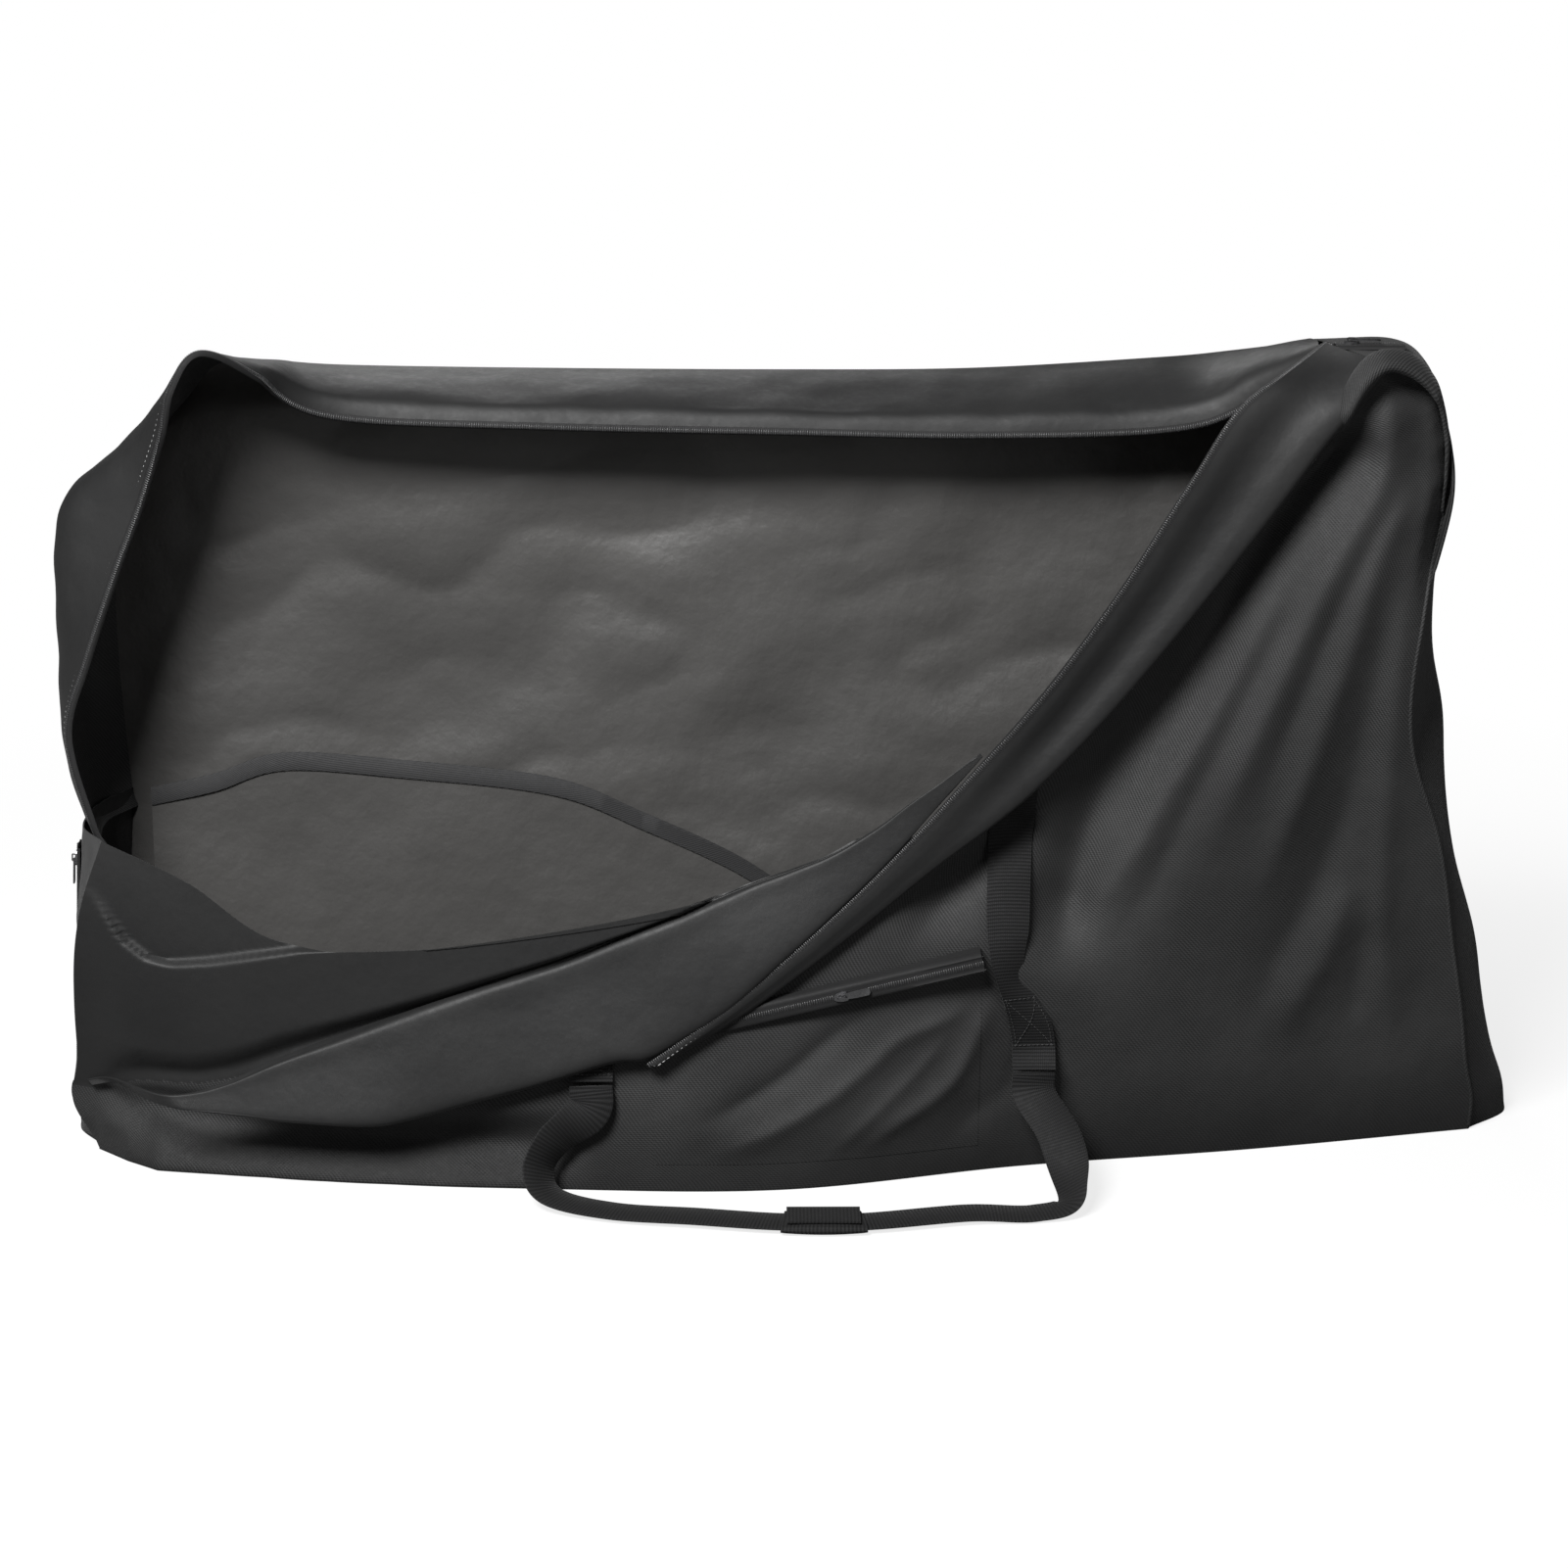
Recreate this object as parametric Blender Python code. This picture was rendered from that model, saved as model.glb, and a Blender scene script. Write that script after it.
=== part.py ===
"""A soft travel bag for a bicycle, standing open.

The bag is sewn from flat cloth panels. A wide back panel and a wide front panel are joined all round by
a gusset, the strip that gives the bag its depth. A long zip splits the gusset over the top and down the
left side. It is open here: the rear half of the gusset leans over the mouth, and the front panel is
pulled down on a slant from the top right corner, with its corner turned out as a hanging flap.

Units are metres, +Z is up, +X is to the right and -Y is the front. The origin lies on the floor, under
the middle of the bag's length.
"""

import math

import bmesh
import bpy
from mathutils import Matrix, Vector
from mathutils.bvhtree import BVHTree

# Overall sizes of the bag
BAG_LENGTH = 1.50
BAG_DEPTH = 0.26
BAG_HEIGHT = 0.83

# Cloth, and the room left between sewn pieces
CLOTH = 0.003
SEAM_GAP = 0.0004
LAP_GAP = 0.0006

# Samples taken in each span of an outline
RING_STEPS = 2
LEFT_STEPS = 5
PANEL_STEPS = 2
STRIP_STEPS = 2

# Half gusset behind the mouth: (x, y, z) from the back seam to the zip edge, one row for each station
# from the left side, round the top left corner and along the top
REAR_RING_SHARES = (
    ((-0.477, 0.500, 0.434), (-0.497, 0.269, 0.435), (-0.495, 0.000, 0.436), (-0.487, -0.192, 0.439)),
    ((-0.481, 0.500, 0.542), (-0.505, 0.308, 0.542), (-0.511, 0.038, 0.545), (-0.501, -0.192, 0.554)),
    ((-0.483, 0.500, 0.651), (-0.507, 0.308, 0.657), (-0.509, 0.038, 0.663), (-0.486, -0.192, 0.653)),
    ((-0.481, 0.500, 0.759), (-0.505, 0.308, 0.765), (-0.508, 0.038, 0.771), (-0.464, -0.192, 0.764)),
    ((-0.474, 0.500, 0.840), (-0.492, 0.308, 0.845), (-0.497, 0.038, 0.850), (-0.445, -0.192, 0.849)),
    ((-0.449, 0.500, 0.898), (-0.458, 0.308, 0.902), (-0.461, 0.000, 0.911), (-0.428, -0.231, 0.935)),
    ((-0.426, 0.500, 0.945), (-0.430, 0.308, 0.950), (-0.434, 0.000, 0.965), (-0.419, -0.231, 0.994)),
    ((-0.403, 0.500, 0.990), (-0.406, 0.308, 1.002), (-0.406, 0.038, 1.020), (-0.399, -0.192, 1.039)),
    ((-0.367, 0.500, 0.994), (-0.367, 0.308, 1.002), (-0.363, 0.077, 1.014), (-0.357, -0.077, 1.014)),
    ((-0.313, 0.500, 0.988), (-0.313, 0.308, 0.998), (-0.313, 0.115, 0.988), (-0.313, 0.058, 0.961)),
    ((-0.173, 0.500, 0.984), (-0.173, 0.308, 0.990), (-0.173, 0.154, 0.978), (-0.173, 0.077, 0.947)),
    ((0.000, 0.500, 0.982), (0.000, 0.308, 0.988), (0.000, 0.154, 0.973), (0.000, 0.077, 0.940)),
    ((0.133, 0.500, 0.984), (0.133, 0.308, 0.990), (0.133, 0.154, 0.971), (0.133, 0.077, 0.935)),
    ((0.267, 0.500, 0.998), (0.267, 0.308, 1.002), (0.267, 0.154, 0.982), (0.267, 0.077, 0.942)),
    ((0.320, 0.500, 1.007), (0.320, 0.308, 1.014), (0.320, 0.115, 1.010), (0.320, 0.038, 0.976)),
    ((0.369, 0.500, 1.018), (0.369, 0.308, 1.031), (0.369, 0.077, 1.039), (0.367, -0.077, 1.041)),
)
# The station at which the left half gusset ends and the top one begins
REAR_CORNER_STATION = 7
# How far across the half gusset the cloth reaches; the rest is zip tape
REAR_CLOTH_SHARE = 0.9
REAR_COLUMN_STEPS = 2

# Right gusset: (x, y, z) at the back seam and in the middle, from the floor up and round the corner
RIGHT_RING_SHARES = (
    ((0.527, 0.500, 0.000), (0.530, 0.269, 0.000)),
    ((0.508, 0.500, 0.145), (0.512, 0.192, 0.145)),
    ((0.498, 0.500, 0.265), (0.501, 0.154, 0.265)),
    ((0.476, 0.500, 0.410), (0.477, 0.115, 0.410)),
    ((0.469, 0.500, 0.554), (0.469, 0.115, 0.554)),
    ((0.464, 0.500, 0.723), (0.458, 0.115, 0.723)),
    ((0.476, 0.500, 0.867), (0.467, 0.115, 0.867)),
    ((0.466, 0.500, 0.952), (0.459, 0.115, 0.958)),
    ((0.447, 0.500, 1.006), (0.445, 0.115, 1.014)),
    ((0.420, 0.500, 1.024), (0.423, 0.115, 1.039)),
    ((0.373, 0.500, 1.019), (0.373, 0.115, 1.040)),
)
# The same gusset's front seam: (x, z)
RIGHT_FRONT_SHARES = (
    (0.497, 0.000), (0.488, 0.145), (0.479, 0.265), (0.460, 0.410), (0.437, 0.554), (0.440, 0.723),
    (0.456, 0.867), (0.450, 0.952), (0.438, 1.002), (0.422, 1.029), (0.403, 1.036),
)

# Left gusset below the mouth: (x, y, z) at the back seam, behind the zip and at the zip
LEFT_RING_SHARES = (
    ((-0.480, 0.500, 0.000), (-0.508, 0.269, 0.000), (-0.512, 0.060, 0.000)),
    ((-0.485, 0.500, 0.108), (-0.505, 0.250, 0.108), (-0.508, 0.000, 0.108)),
    ((-0.487, 0.500, 0.217), (-0.502, 0.231, 0.217), (-0.503, -0.060, 0.217)),
    ((-0.481, 0.500, 0.325), (-0.498, 0.231, 0.325), (-0.499, -0.115, 0.325)),
    ((-0.477, 0.500, 0.428), (-0.494, 0.231, 0.428), (-0.495, -0.115, 0.428)),
)
LEFT_FRONT_SHARES = ((-0.490, 0.000), (-0.500, 0.120), (-0.495, 0.241), (-0.487, 0.349), (-0.472, 0.436))

# Front panel: its bottom edge (x), and its upper edge (x, z), which is a fold at the left and a seam at
# the right
FRONT_BOTTOM_SHARES = (
    -0.490, -0.427, -0.360, -0.280, -0.193, -0.107, -0.033, 0.033, 0.107, 0.180, 0.253, 0.333, 0.413, 0.497,
)
FRONT_TOP_SHARES = (
    (-0.472, 0.436), (-0.407, 0.376), (-0.347, 0.316), (-0.253, 0.316), (-0.147, 0.341), (-0.040, 0.358),
    (0.033, 0.361), (0.095, 0.395), (0.159, 0.500), (0.213, 0.596), (0.268, 0.713), (0.320, 0.831),
    (0.363, 0.934), (0.403, 1.036),
)
# How far forward the front panel hangs (y), on even columns from left to right. The first row is at the
# floor and the last at the bag's full height.
FRONT_DEPTH_SHARES = (
    (-0.120, -0.527, -0.650, -0.662, -0.388, -0.192, 0.058),
    (-0.404, -0.577, -0.646, -0.615, -0.577, -0.365, -0.115),
    (-0.346, -0.462, -0.538, -0.558, -0.558, -0.481, -0.269),
    (-0.308, -0.385, -0.462, -0.500, -0.500, -0.481, -0.212),
)

# Front half gusset, the strip along the slanted edge: its zip edge (x, z) from the top right down
STRIP_ZIP_SHARES = (
    (0.371, 1.046), (0.313, 0.990), (0.275, 0.894), (0.229, 0.761), (0.180, 0.639), (0.130, 0.534),
    (0.073, 0.422), (0.013, 0.319), (-0.044, 0.236), (-0.090, 0.175),
)
# The lower end of its seam edge, below where it leaves the front panel's upper edge
STRIP_SEAM_LOW_SHARES = ((0.095, 0.395), (0.033, 0.293), (-0.027, 0.212), (-0.083, 0.163))
STRIP_SEAM_STATION = 7
# How far back the zip edge lies, and how far the whole strip lifts off the panel, at each station
STRIP_RECEDE_SHARES = (0.33, 0.19, 0.13, 0.12, 0.10, 0.045, 0.0, 0.0, 0.0, 0.0)
STRIP_LIFT_SHARES = (0.0, 0.0, 0.0, 0.0, 0.0, 0.004, 0.029, 0.052, 0.068, 0.070)
STRIP_LAP = 0.004
STRIP_GAP = 0.0009
STRIP_BEND = 0.005
STRIP_CROWN = 0.004

# Zip tape, slider and pull
TAPE_WIDTH = 0.012
TAPE_THICKNESS = 0.0016
CLOSED_TAPE_WIDTH = 0.026
CLOSED_TAPE_THICKNESS = 0.0024
SLIDER_LENGTH = 0.016
SLIDER_NOSE = 0.011
SLIDER_TAIL = 0.008
SLIDER_THICKNESS = 0.0024
BRIDGE_LENGTH = 0.009
BRIDGE_WIDTH = 0.002
BRIDGE_BAR = 0.0013
BRIDGE_HEIGHT = 0.0042
PULL_LENGTH = 0.030
PULL_WIDTH = 0.0080
PULL_NECK = 0.0066
PULL_THICKNESS = 0.0014
PULL_SLOT_LENGTH = 0.0052
PULL_SLOT_WIDTH = 0.0030
PULL_BAR = 0.0016
PULL_TIP_HOLE = 0.0018

# Flap: the turned out corner of the front panel, hung from a straight crease
FLAP_RIM_SHARES = ((-0.463, 0.131), (0.063, 0.455))
FLAP_LOW_SHARES = (
    (-0.458, 0.120), (-0.417, 0.115), (-0.345, 0.101), (-0.291, 0.098), (-0.264, 0.104), (-0.209, 0.130),
    (-0.169, 0.151), (-0.117, 0.187), (-0.067, 0.233), (-0.020, 0.298), (0.030, 0.380), (0.058, 0.434),
)
FLAP_RIM_RADIUS = 0.002
FLAP_RIM_FACETS = 8
FLAP_FORWARD = 0.012

# Inner wheel pocket: a sheet that stands in front of the back panel
WHEEL_POCKET_TOP_SHARES = (
    (-0.460, 0.434), (-0.413, 0.453), (-0.363, 0.481), (-0.277, 0.471), (-0.167, 0.447), (-0.100, 0.398),
    (-0.040, 0.347), (0.000, 0.301),
)
WHEEL_POCKET_STANDOFF = 0.026
BINDING_WIDTH = 0.018
BINDING_THICKNESS = 0.0015

# Front pocket, closed by a straight zip: its ends, and the heights of its foot and of its top's two ends
POCKET_LEFT = -0.135
POCKET_RIGHT = 0.205
POCKET_FOOT_SHARE = 0.0361
POCKET_TOP_SHARES = (0.2024, 0.3012)
POCKET_THICKNESS = 0.0022
POCKET_ZIP_THICKNESS = 0.0022
POCKET_ZIP_WIDTH = 0.022
POCKET_SLIDER_REST = 0.200

# Closed ends of the main zip
# (y, z) of the left end's top and foot, and (x, y) of the right end's start and end
LEFT_ZIP_SHARES = ((-0.115, 0.404), (0.038, 0.060))
RIGHT_ZIP_SHARES = ((0.378, -0.077), (0.4247, -0.077))

# Webbing handles
STRAP_WIDTH = 0.045
STRAP_THICKNESS = 0.0022
HANDLE_LEFT = -0.200
HANDLE_RIGHT = 0.262
HANDLE_HEIGHT = 0.118
HANDLE_STANDOFF = 0.008
HANDLE_GAP = 0.0009
LEG_LEFT_TOP_SHARE = 0.2590
LEG_RIGHT_TOP_SHARE = 0.4554
LEG_RIGHT_LEAN = -0.028
HANDLE_REACH = 0.125
HANDLE_STEPS = 4
LEG_STEPS = 10
# A handle's loop: x as a share of the distance between its ends, outward reach, and height
HANDLE_ROUTE_SHARES = (
    (-0.500, 0.00, 1.00), (-0.503, 0.03, 0.78), (-0.570, 0.08, 0.53), (-0.598, 0.18, 0.26), (-0.548, 0.37, 0.07),
    (-0.424, 0.66, 0.03), (-0.262, 0.855, 0.04), (-0.070, 0.95, 0.06), (0.110, 1.01, 0.06), (0.340, 0.90, 0.03),
    (0.490, 0.91, 0.03), (0.565, 0.77, 0.13), (0.560, 0.34, 0.50), (0.503, 0.03, 0.78), (0.500, 0.00, 1.00),
)
# Which way the webbing's width points at each of those places (x along the bag, y outward)
HANDLE_TURN_SHARES = (
    (1.0, 0.0), (1.0, 0.0), (1.0, -0.15), (0.9, -0.4), (0.6, -0.8), (0.35, -0.9), (0.1, -1.0), (0.0, -1.0),
    (0.0, -1.0), (0.0, -1.0), (-0.25, -1.0), (-0.8, -0.6), (-1.0, -0.15), (-1.0, 0.0), (-1.0, 0.0),
)
GRIP_FIRST_STATION = 7
GRIP_LAST_STATION = 8
GRIP_WIDTH = 0.054
GRIP_HEIGHT = 0.0120
GRIP_HOLE_WIDTH = 0.0466
GRIP_HOLE_HEIGHT = 0.0038
GRIP_CORNER = 0.0035
GRIP_FLAP_WIDTH = 0.042
GRIP_FLAP_THICKNESS = 0.0016
GRIP_FLAP_OVERHANG = 0.004
FLOOR_CLEARANCE = 0.0004

# Colours
CLOTH_BLACK = (0.022, 0.023, 0.025, 1.0)
LINING_BLACK = (0.018, 0.018, 0.019, 1.0)
WEBBING_BLACK = (0.012, 0.012, 0.013, 1.0)
TAPE_BLACK = (0.010, 0.010, 0.011, 1.0)
METAL_GREY = (0.32, 0.32, 0.33, 1.0)

UP = Vector((0, 0, 1))
RIGHT = Vector((1, 0, 0))
BACK = Vector((0, 1, 0))
BACK_SEAM = BAG_DEPTH / 2
WALL_FOOT = CLOTH + SEAM_GAP


def clear_scene():
    for obj in list(bpy.data.objects):
        bpy.data.objects.remove(obj, do_unlink=True)


def finish(name, colour, roughness, metallic=0.0):
    """A material of one part."""
    material = bpy.data.materials.new(name)
    material.use_nodes = True
    shader = material.node_tree.nodes["Principled BSDF"]
    shader.inputs["Base Color"].default_value = colour
    shader.inputs["Roughness"].default_value = roughness
    shader.inputs["Metallic"].default_value = metallic
    return material


def outer_cloth(name):
    return finish(name, CLOTH_BLACK, 0.62)


def lining(name):
    return finish(name, LINING_BLACK, 0.45)


def webbing(name):
    return finish(name, WEBBING_BLACK, 0.8)


def tape(name):
    return finish(name, TAPE_BLACK, 0.7)


def metal(name):
    return finish(name, METAL_GREY, 0.3, 1.0)


def add_object(name, bm, material, parent=None):
    bmesh.ops.recalc_face_normals(bm, faces=bm.faces)
    mesh = bpy.data.meshes.new(name)
    bm.to_mesh(mesh)
    bm.free()
    mesh.shade_smooth()
    mesh.set_sharp_from_angle(angle=math.radians(40))
    mesh.materials.append(material)
    obj = bpy.data.objects.new(name, mesh)
    bpy.context.scene.collection.objects.link(obj)
    if parent:
        obj.parent = parent
    return obj


def place(share):
    """A place in the bag from shares of its length, depth and height."""
    return Vector((share[0] * BAG_LENGTH, share[1] * BAG_DEPTH, share[2] * BAG_HEIGHT))


def face_place(share):
    """The same for a place on the front, given by shares of length and height."""
    return Vector((share[0] * BAG_LENGTH, 0, share[1] * BAG_HEIGHT))


def spline(a, b, c, d, t):
    """The Catmull-Rom curve from b to c."""
    return 0.5 * (2 * b + (c - a) * t + (2 * a - 5 * b + 4 * c - d) * t**2 + (3 * b - a - 3 * c + d) * t**3)


def smooth(points, steps):
    """A curve through the points, with this many steps in each span."""
    padded = [2 * points[0] - points[1], *points, 2 * points[-1] - points[-2]]
    curve = []
    for i in range(len(points) - 1):
        for k in range(steps):
            curve.append(spline(*padded[i : i + 4], k / steps))
    curve.append(points[-1])
    return curve


def table_value(row, along):
    """The value in a row of evenly spaced ones, at this many columns along it."""
    i = min(max(int(along), 0), len(row) - 2)
    padded = [2 * row[0] - row[1], *row, 2 * row[-1] - row[-2]]
    return spline(*padded[i : i + 4], along - i)


def front_y(x, z):
    """Where the front panel's inner face hangs."""
    columns = len(FRONT_DEPTH_SHARES[0]) - 1
    rows = len(FRONT_DEPTH_SHARES) - 1
    across = (x / BAG_LENGTH + 0.5) * columns
    heights = [table_value(row, across) for row in FRONT_DEPTH_SHARES]
    return BAG_DEPTH * table_value(heights, z / BAG_HEIGHT * rows)


def on_front(point):
    return Vector((point.x, front_y(point.x, point.z), point.z))


def smooth_grid(rows, row_steps, column_steps):
    """A surface through a grid of points."""
    across = [smooth(row, column_steps) for row in rows]
    columns = [smooth([row[j] for row in across], row_steps) for j in range(len(across[0]))]
    return [list(row) for row in zip(*columns)]


def patch(low, high, left, right):
    """The surface between four edges. low and high run from left to right, left and right run upwards."""
    rows = len(left) - 1
    columns = len(low) - 1
    grid = []
    for i in range(rows + 1):
        v = i / rows
        row = []
        for j in range(columns + 1):
            u = j / columns
            between = low[j] * (1 - v) + high[j] * v + left[i] * (1 - u) + right[i] * u
            corners = (low[0] * (1 - u) + low[-1] * u) * (1 - v) + (high[0] * (1 - u) + high[-1] * u) * v
            row.append(between - corners)
        grid.append(row)
    return grid


def sheet_mesh(face, other):
    """A closed sheet between two grids of points of the same size."""
    bm = bmesh.new()
    sides = [[[bm.verts.new(p) for p in row] for row in grid] for grid in (face, other)]
    rows = len(face) - 1
    columns = len(face[0]) - 1
    for side in sides:
        for i in range(rows):
            for j in range(columns):
                bm.faces.new((side[i][j], side[i][j + 1], side[i + 1][j + 1], side[i + 1][j]))
    rim = [(0, j) for j in range(columns)] + [(i, columns) for i in range(rows)]
    rim += [(rows, j) for j in range(columns, 0, -1)] + [(i, 0) for i in range(rows, 0, -1)]
    for k, (i, j) in enumerate(rim):
        m, n = rim[(k + 1) % len(rim)]
        bm.faces.new((sides[0][i][j], sides[0][m][n], sides[1][m][n], sides[1][i][j]))
    return bm


def sheet(name, face, thickness, material, parent=None):
    """A sheet whose thickness, a vector for each point of its grid, is added to one face."""
    other = [[p + thickness(i, j) for j, p in enumerate(row)] for i, row in enumerate(face)]
    return add_object(name, sheet_mesh(face, other), material, parent)


def inward_of_outline(outline, turn):
    """For each point of an outline seen from the front, the unit vector into the bag."""
    found = []
    for i in range(len(outline)):
        step = outline[min(i + 1, len(outline) - 1)] - outline[max(i - 1, 0)]
        found.append(Vector((-turn * step.z, 0, turn * step.x)).normalized())
    return found


def level_first(directions):
    """The same, with the first one level, for a wall that stands on the floor."""
    return [Vector((directions[0].x, 0, 0)).normalized(), *directions[1:]]


def surface_tree(obj):
    depsgraph = bpy.context.evaluated_depsgraph_get()
    return BVHTree.FromObject(obj, depsgraph)


def hit(tree, start, direction):
    """Where a straight line from start first meets a surface, or None."""
    return tree.ray_cast(start, direction)[0]


def front_face_y(tree, x, z):
    """How far forward the front panel's outer face is, or where its inner face would be past its edge."""
    found = hit(tree, Vector((x, -BAG_LENGTH, z)), BACK)
    return found.y if found else front_y(x, z) - CLOTH


def lift_to_floor(grid, height):
    """Trims a grid's first row to one height, so that it stands level."""
    for point in grid[0]:
        point.z = height


# The panels that stand on the floor


def right_side():
    """The right gusset's outer face, and the front panel's right edge, on the same rows."""
    rows = []
    for (back, middle), front in zip(RIGHT_RING_SHARES, RIGHT_FRONT_SHARES):
        seam = on_front(face_place(front)) + BACK * SEAM_GAP
        rows.append([place(back) - BACK * SEAM_GAP, place(middle), seam])
    grid = smooth_grid(rows, RING_STEPS, RING_STEPS)
    lift_to_floor(grid, WALL_FOOT)
    edge = [on_front(row[-1]) for row in grid]
    for row, seam in zip(grid, edge):
        row[-1] = seam + BACK * SEAM_GAP
    return grid, edge


def left_side():
    rows = []
    for (back, middle, at_zip), front in zip(LEFT_RING_SHARES, LEFT_FRONT_SHARES):
        seam = on_front(face_place(front)) + BACK * SEAM_GAP
        rows.append([place(back) - BACK * SEAM_GAP, place(middle), place(at_zip), seam])
    grid = smooth_grid(rows, LEFT_STEPS, RING_STEPS)
    lift_to_floor(grid, WALL_FOOT)
    edge = [on_front(row[-1]) for row in grid]
    for row, seam in zip(grid, edge):
        row[-1] = seam + BACK * SEAM_GAP
    return grid, edge


def make_gusset(name, grid, turn):
    inward = level_first(inward_of_outline([row[0] for row in grid], turn))
    return sheet(name, grid, lambda i, j: inward[i] * CLOTH, outer_cloth(name))


def make_front_panel(left_edge, right_edge):
    low = smooth([Vector((share * BAG_LENGTH, 0, WALL_FOOT)) for share in FRONT_BOTTOM_SHARES], PANEL_STEPS)
    high = smooth([face_place(share) for share in FRONT_TOP_SHARES], PANEL_STEPS)
    low[0], low[-1] = left_edge[0], right_edge[0]
    high[0], high[-1] = left_edge[-1], right_edge[-1]
    grid = [[on_front(p) for p in row] for row in patch(low, high, left_edge, right_edge)]
    panel = sheet("front_panel", grid, lambda i, j: -BACK * CLOTH, outer_cloth("front_panel"))
    return panel, grid


def rear_ring():
    """The rear half gusset's outer face, its corner row, and the way into the bag at each row."""
    rows = [[place(share) for share in row] for row in REAR_RING_SHARES]
    grid = smooth_grid(rows, RING_STEPS, REAR_COLUMN_STEPS)
    for row in grid:
        row[0] = row[0] - BACK * SEAM_GAP
    return grid, REAR_CORNER_STATION * RING_STEPS, inward_of_outline([row[0] for row in grid], -1)


def cloth_and_tape(grid):
    """Splits each row of a half gusset into its cloth and the zip tape beyond it."""
    cloth_part, tape_part = [], []
    for row in grid:
        edge = row[-2].lerp(row[-1], 2 * REAR_CLOTH_SHARE - 1)
        outward = (row[-1] - row[-2]).normalized()
        cloth_part.append([*row[:-1], edge])
        tape_part.append([edge + outward * SEAM_GAP, edge + outward * TAPE_WIDTH])
    return cloth_part, tape_part


def make_rear_gusset():
    grid, corner, inward = rear_ring()
    cloth_part, tape_part = cloth_and_tape(grid)
    for label, first, last in (("left", 0, corner), ("top", corner, len(grid) - 1)):
        part = [list(row) for row in cloth_part[first : last + 1]]
        strip = [list(row) for row in tape_part[first : last + 1]]
        if label == "top":
            for rows in (part, strip):
                rows[0] = [p + (q - p).normalized() * SEAM_GAP for p, q in zip(rows[0], rows[1])]
        name = f"{label}_rear_gusset"
        sheet(name, part, lambda i, j: inward[first + i] * CLOTH, outer_cloth(name))
        name = f"{label}_rear_zip_tape"
        sheet(name, strip, lambda i, j: inward[first + i] * TAPE_THICKNESS, tape(name))


def make_back_panel(right_grid, left_grid):
    """The flat back, whose outline is the back seam of every gusset piece."""
    ring, corner, _ = rear_ring()
    rows = len(right_grid) - 1
    left_points = [row[0] for row in left_grid] + [row[0] for row in ring[1 : corner - 1]]
    right_points = [row[0] for row in right_grid]
    top_points = [row[0] for row in ring[corner - 2 :]]
    left_edge = resample(left_points, rows)
    columns = len(top_points)
    low = [left_edge[0].lerp(right_points[0], j / columns) for j in range(columns + 1)]
    top = [left_edge[-1], *top_points[1:], right_points[-1]]
    grid = patch(low, top, left_edge, right_points)
    for row in grid:
        for point in row:
            point.y = BACK_SEAM
    lift_to_floor(grid, WALL_FOOT)
    return sheet("back_panel", grid, lambda i, j: BACK * CLOTH, outer_cloth("back_panel"))


def resample(points, count):
    """The same curve cut into this many even steps."""
    reach = [0.0]
    for a, b in zip(points, points[1:]):
        reach.append(reach[-1] + (b - a).length)
    found = []
    for k in range(count + 1):
        goal = reach[-1] * k / count
        i = min(sum(1 for r in reach if r < goal), len(points) - 1)
        i = max(i, 1)
        span = reach[i] - reach[i - 1]
        found.append(points[i - 1].lerp(points[i], (goal - reach[i - 1]) / span))
    return found


def make_bottom_panel(left_grid, right_grid, front_grid):
    """The floor of the bag: every wall stands on it."""
    front_edge = [Vector((p.x, p.y - CLOTH, 0)) for p in front_grid[0]]
    count = len(front_edge) - 1
    side_rows = len(left_grid[0]) - 1
    left = [Vector((p.x, p.y, 0)) for p in reversed(left_grid[0])]
    right = resample([Vector((p.x, p.y, 0)) for p in reversed(right_grid[0])], side_rows)
    left[0], right[0] = front_edge[0], front_edge[-1]
    for side in (left, right):
        side[-1] = Vector((side[-1].x, BACK_SEAM + CLOTH, 0))
    back_edge = [left[-1].lerp(right[-1], j / count) for j in range(count + 1)]
    grid = patch(front_edge, back_edge, left, right)
    return sheet("bottom_panel", grid, lambda i, j: UP * CLOTH, outer_cloth("bottom_panel"))


# The front strip with its zip tape, and the flap


def make_front_strip(front_grid):
    seam = list(reversed(front_grid[-1][STRIP_SEAM_STATION * PANEL_STEPS :]))
    low = smooth([face_place(share) for share in STRIP_SEAM_LOW_SHARES], STRIP_STEPS)
    seam = [Vector((p.x, 0, p.z)) for p in seam] + low[1:]
    zip_edge = smooth([face_place(share) for share in STRIP_ZIP_SHARES], STRIP_STEPS)
    recede = smooth_values(STRIP_RECEDE_SHARES, STRIP_STEPS)
    lift = smooth_values(STRIP_LIFT_SHARES, STRIP_STEPS)
    clearance = CLOTH + STRIP_GAP
    strip, tape_part = [], []
    for s, z, back, forward in zip(seam, zip_edge, recede, lift):
        across = (z - s).normalized()
        lap = s - across * STRIP_LAP
        bend = s + across * STRIP_BEND
        rows = []
        for point in (lap, bend, z):
            inner = on_front(point) - BACK * (clearance + forward * BAG_DEPTH)
            rows.append(inner)
        rows[2] = rows[2] + BACK * back * BAG_DEPTH
        middle = rows[1].lerp(rows[2], 0.5) - BACK * STRIP_CROWN
        edge = rows[2]
        outward = (edge - middle).normalized()
        strip.append([rows[0], rows[1], middle, edge])
        tape_part.append([edge + outward * SEAM_GAP, edge + outward * TAPE_WIDTH])
    name = "front_gusset_strip"
    sheet(name, strip, lambda i, j: -BACK * CLOTH, outer_cloth(name))
    name = "front_zip_tape"
    sheet(name, tape_part, lambda i, j: -BACK * TAPE_THICKNESS, tape(name))
    return tape_part


def smooth_values(shares, steps):
    points = [Vector((share, 0, 0)) for share in shares]
    return [max(p.x, 0) for p in smooth(points, steps)]


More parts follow.
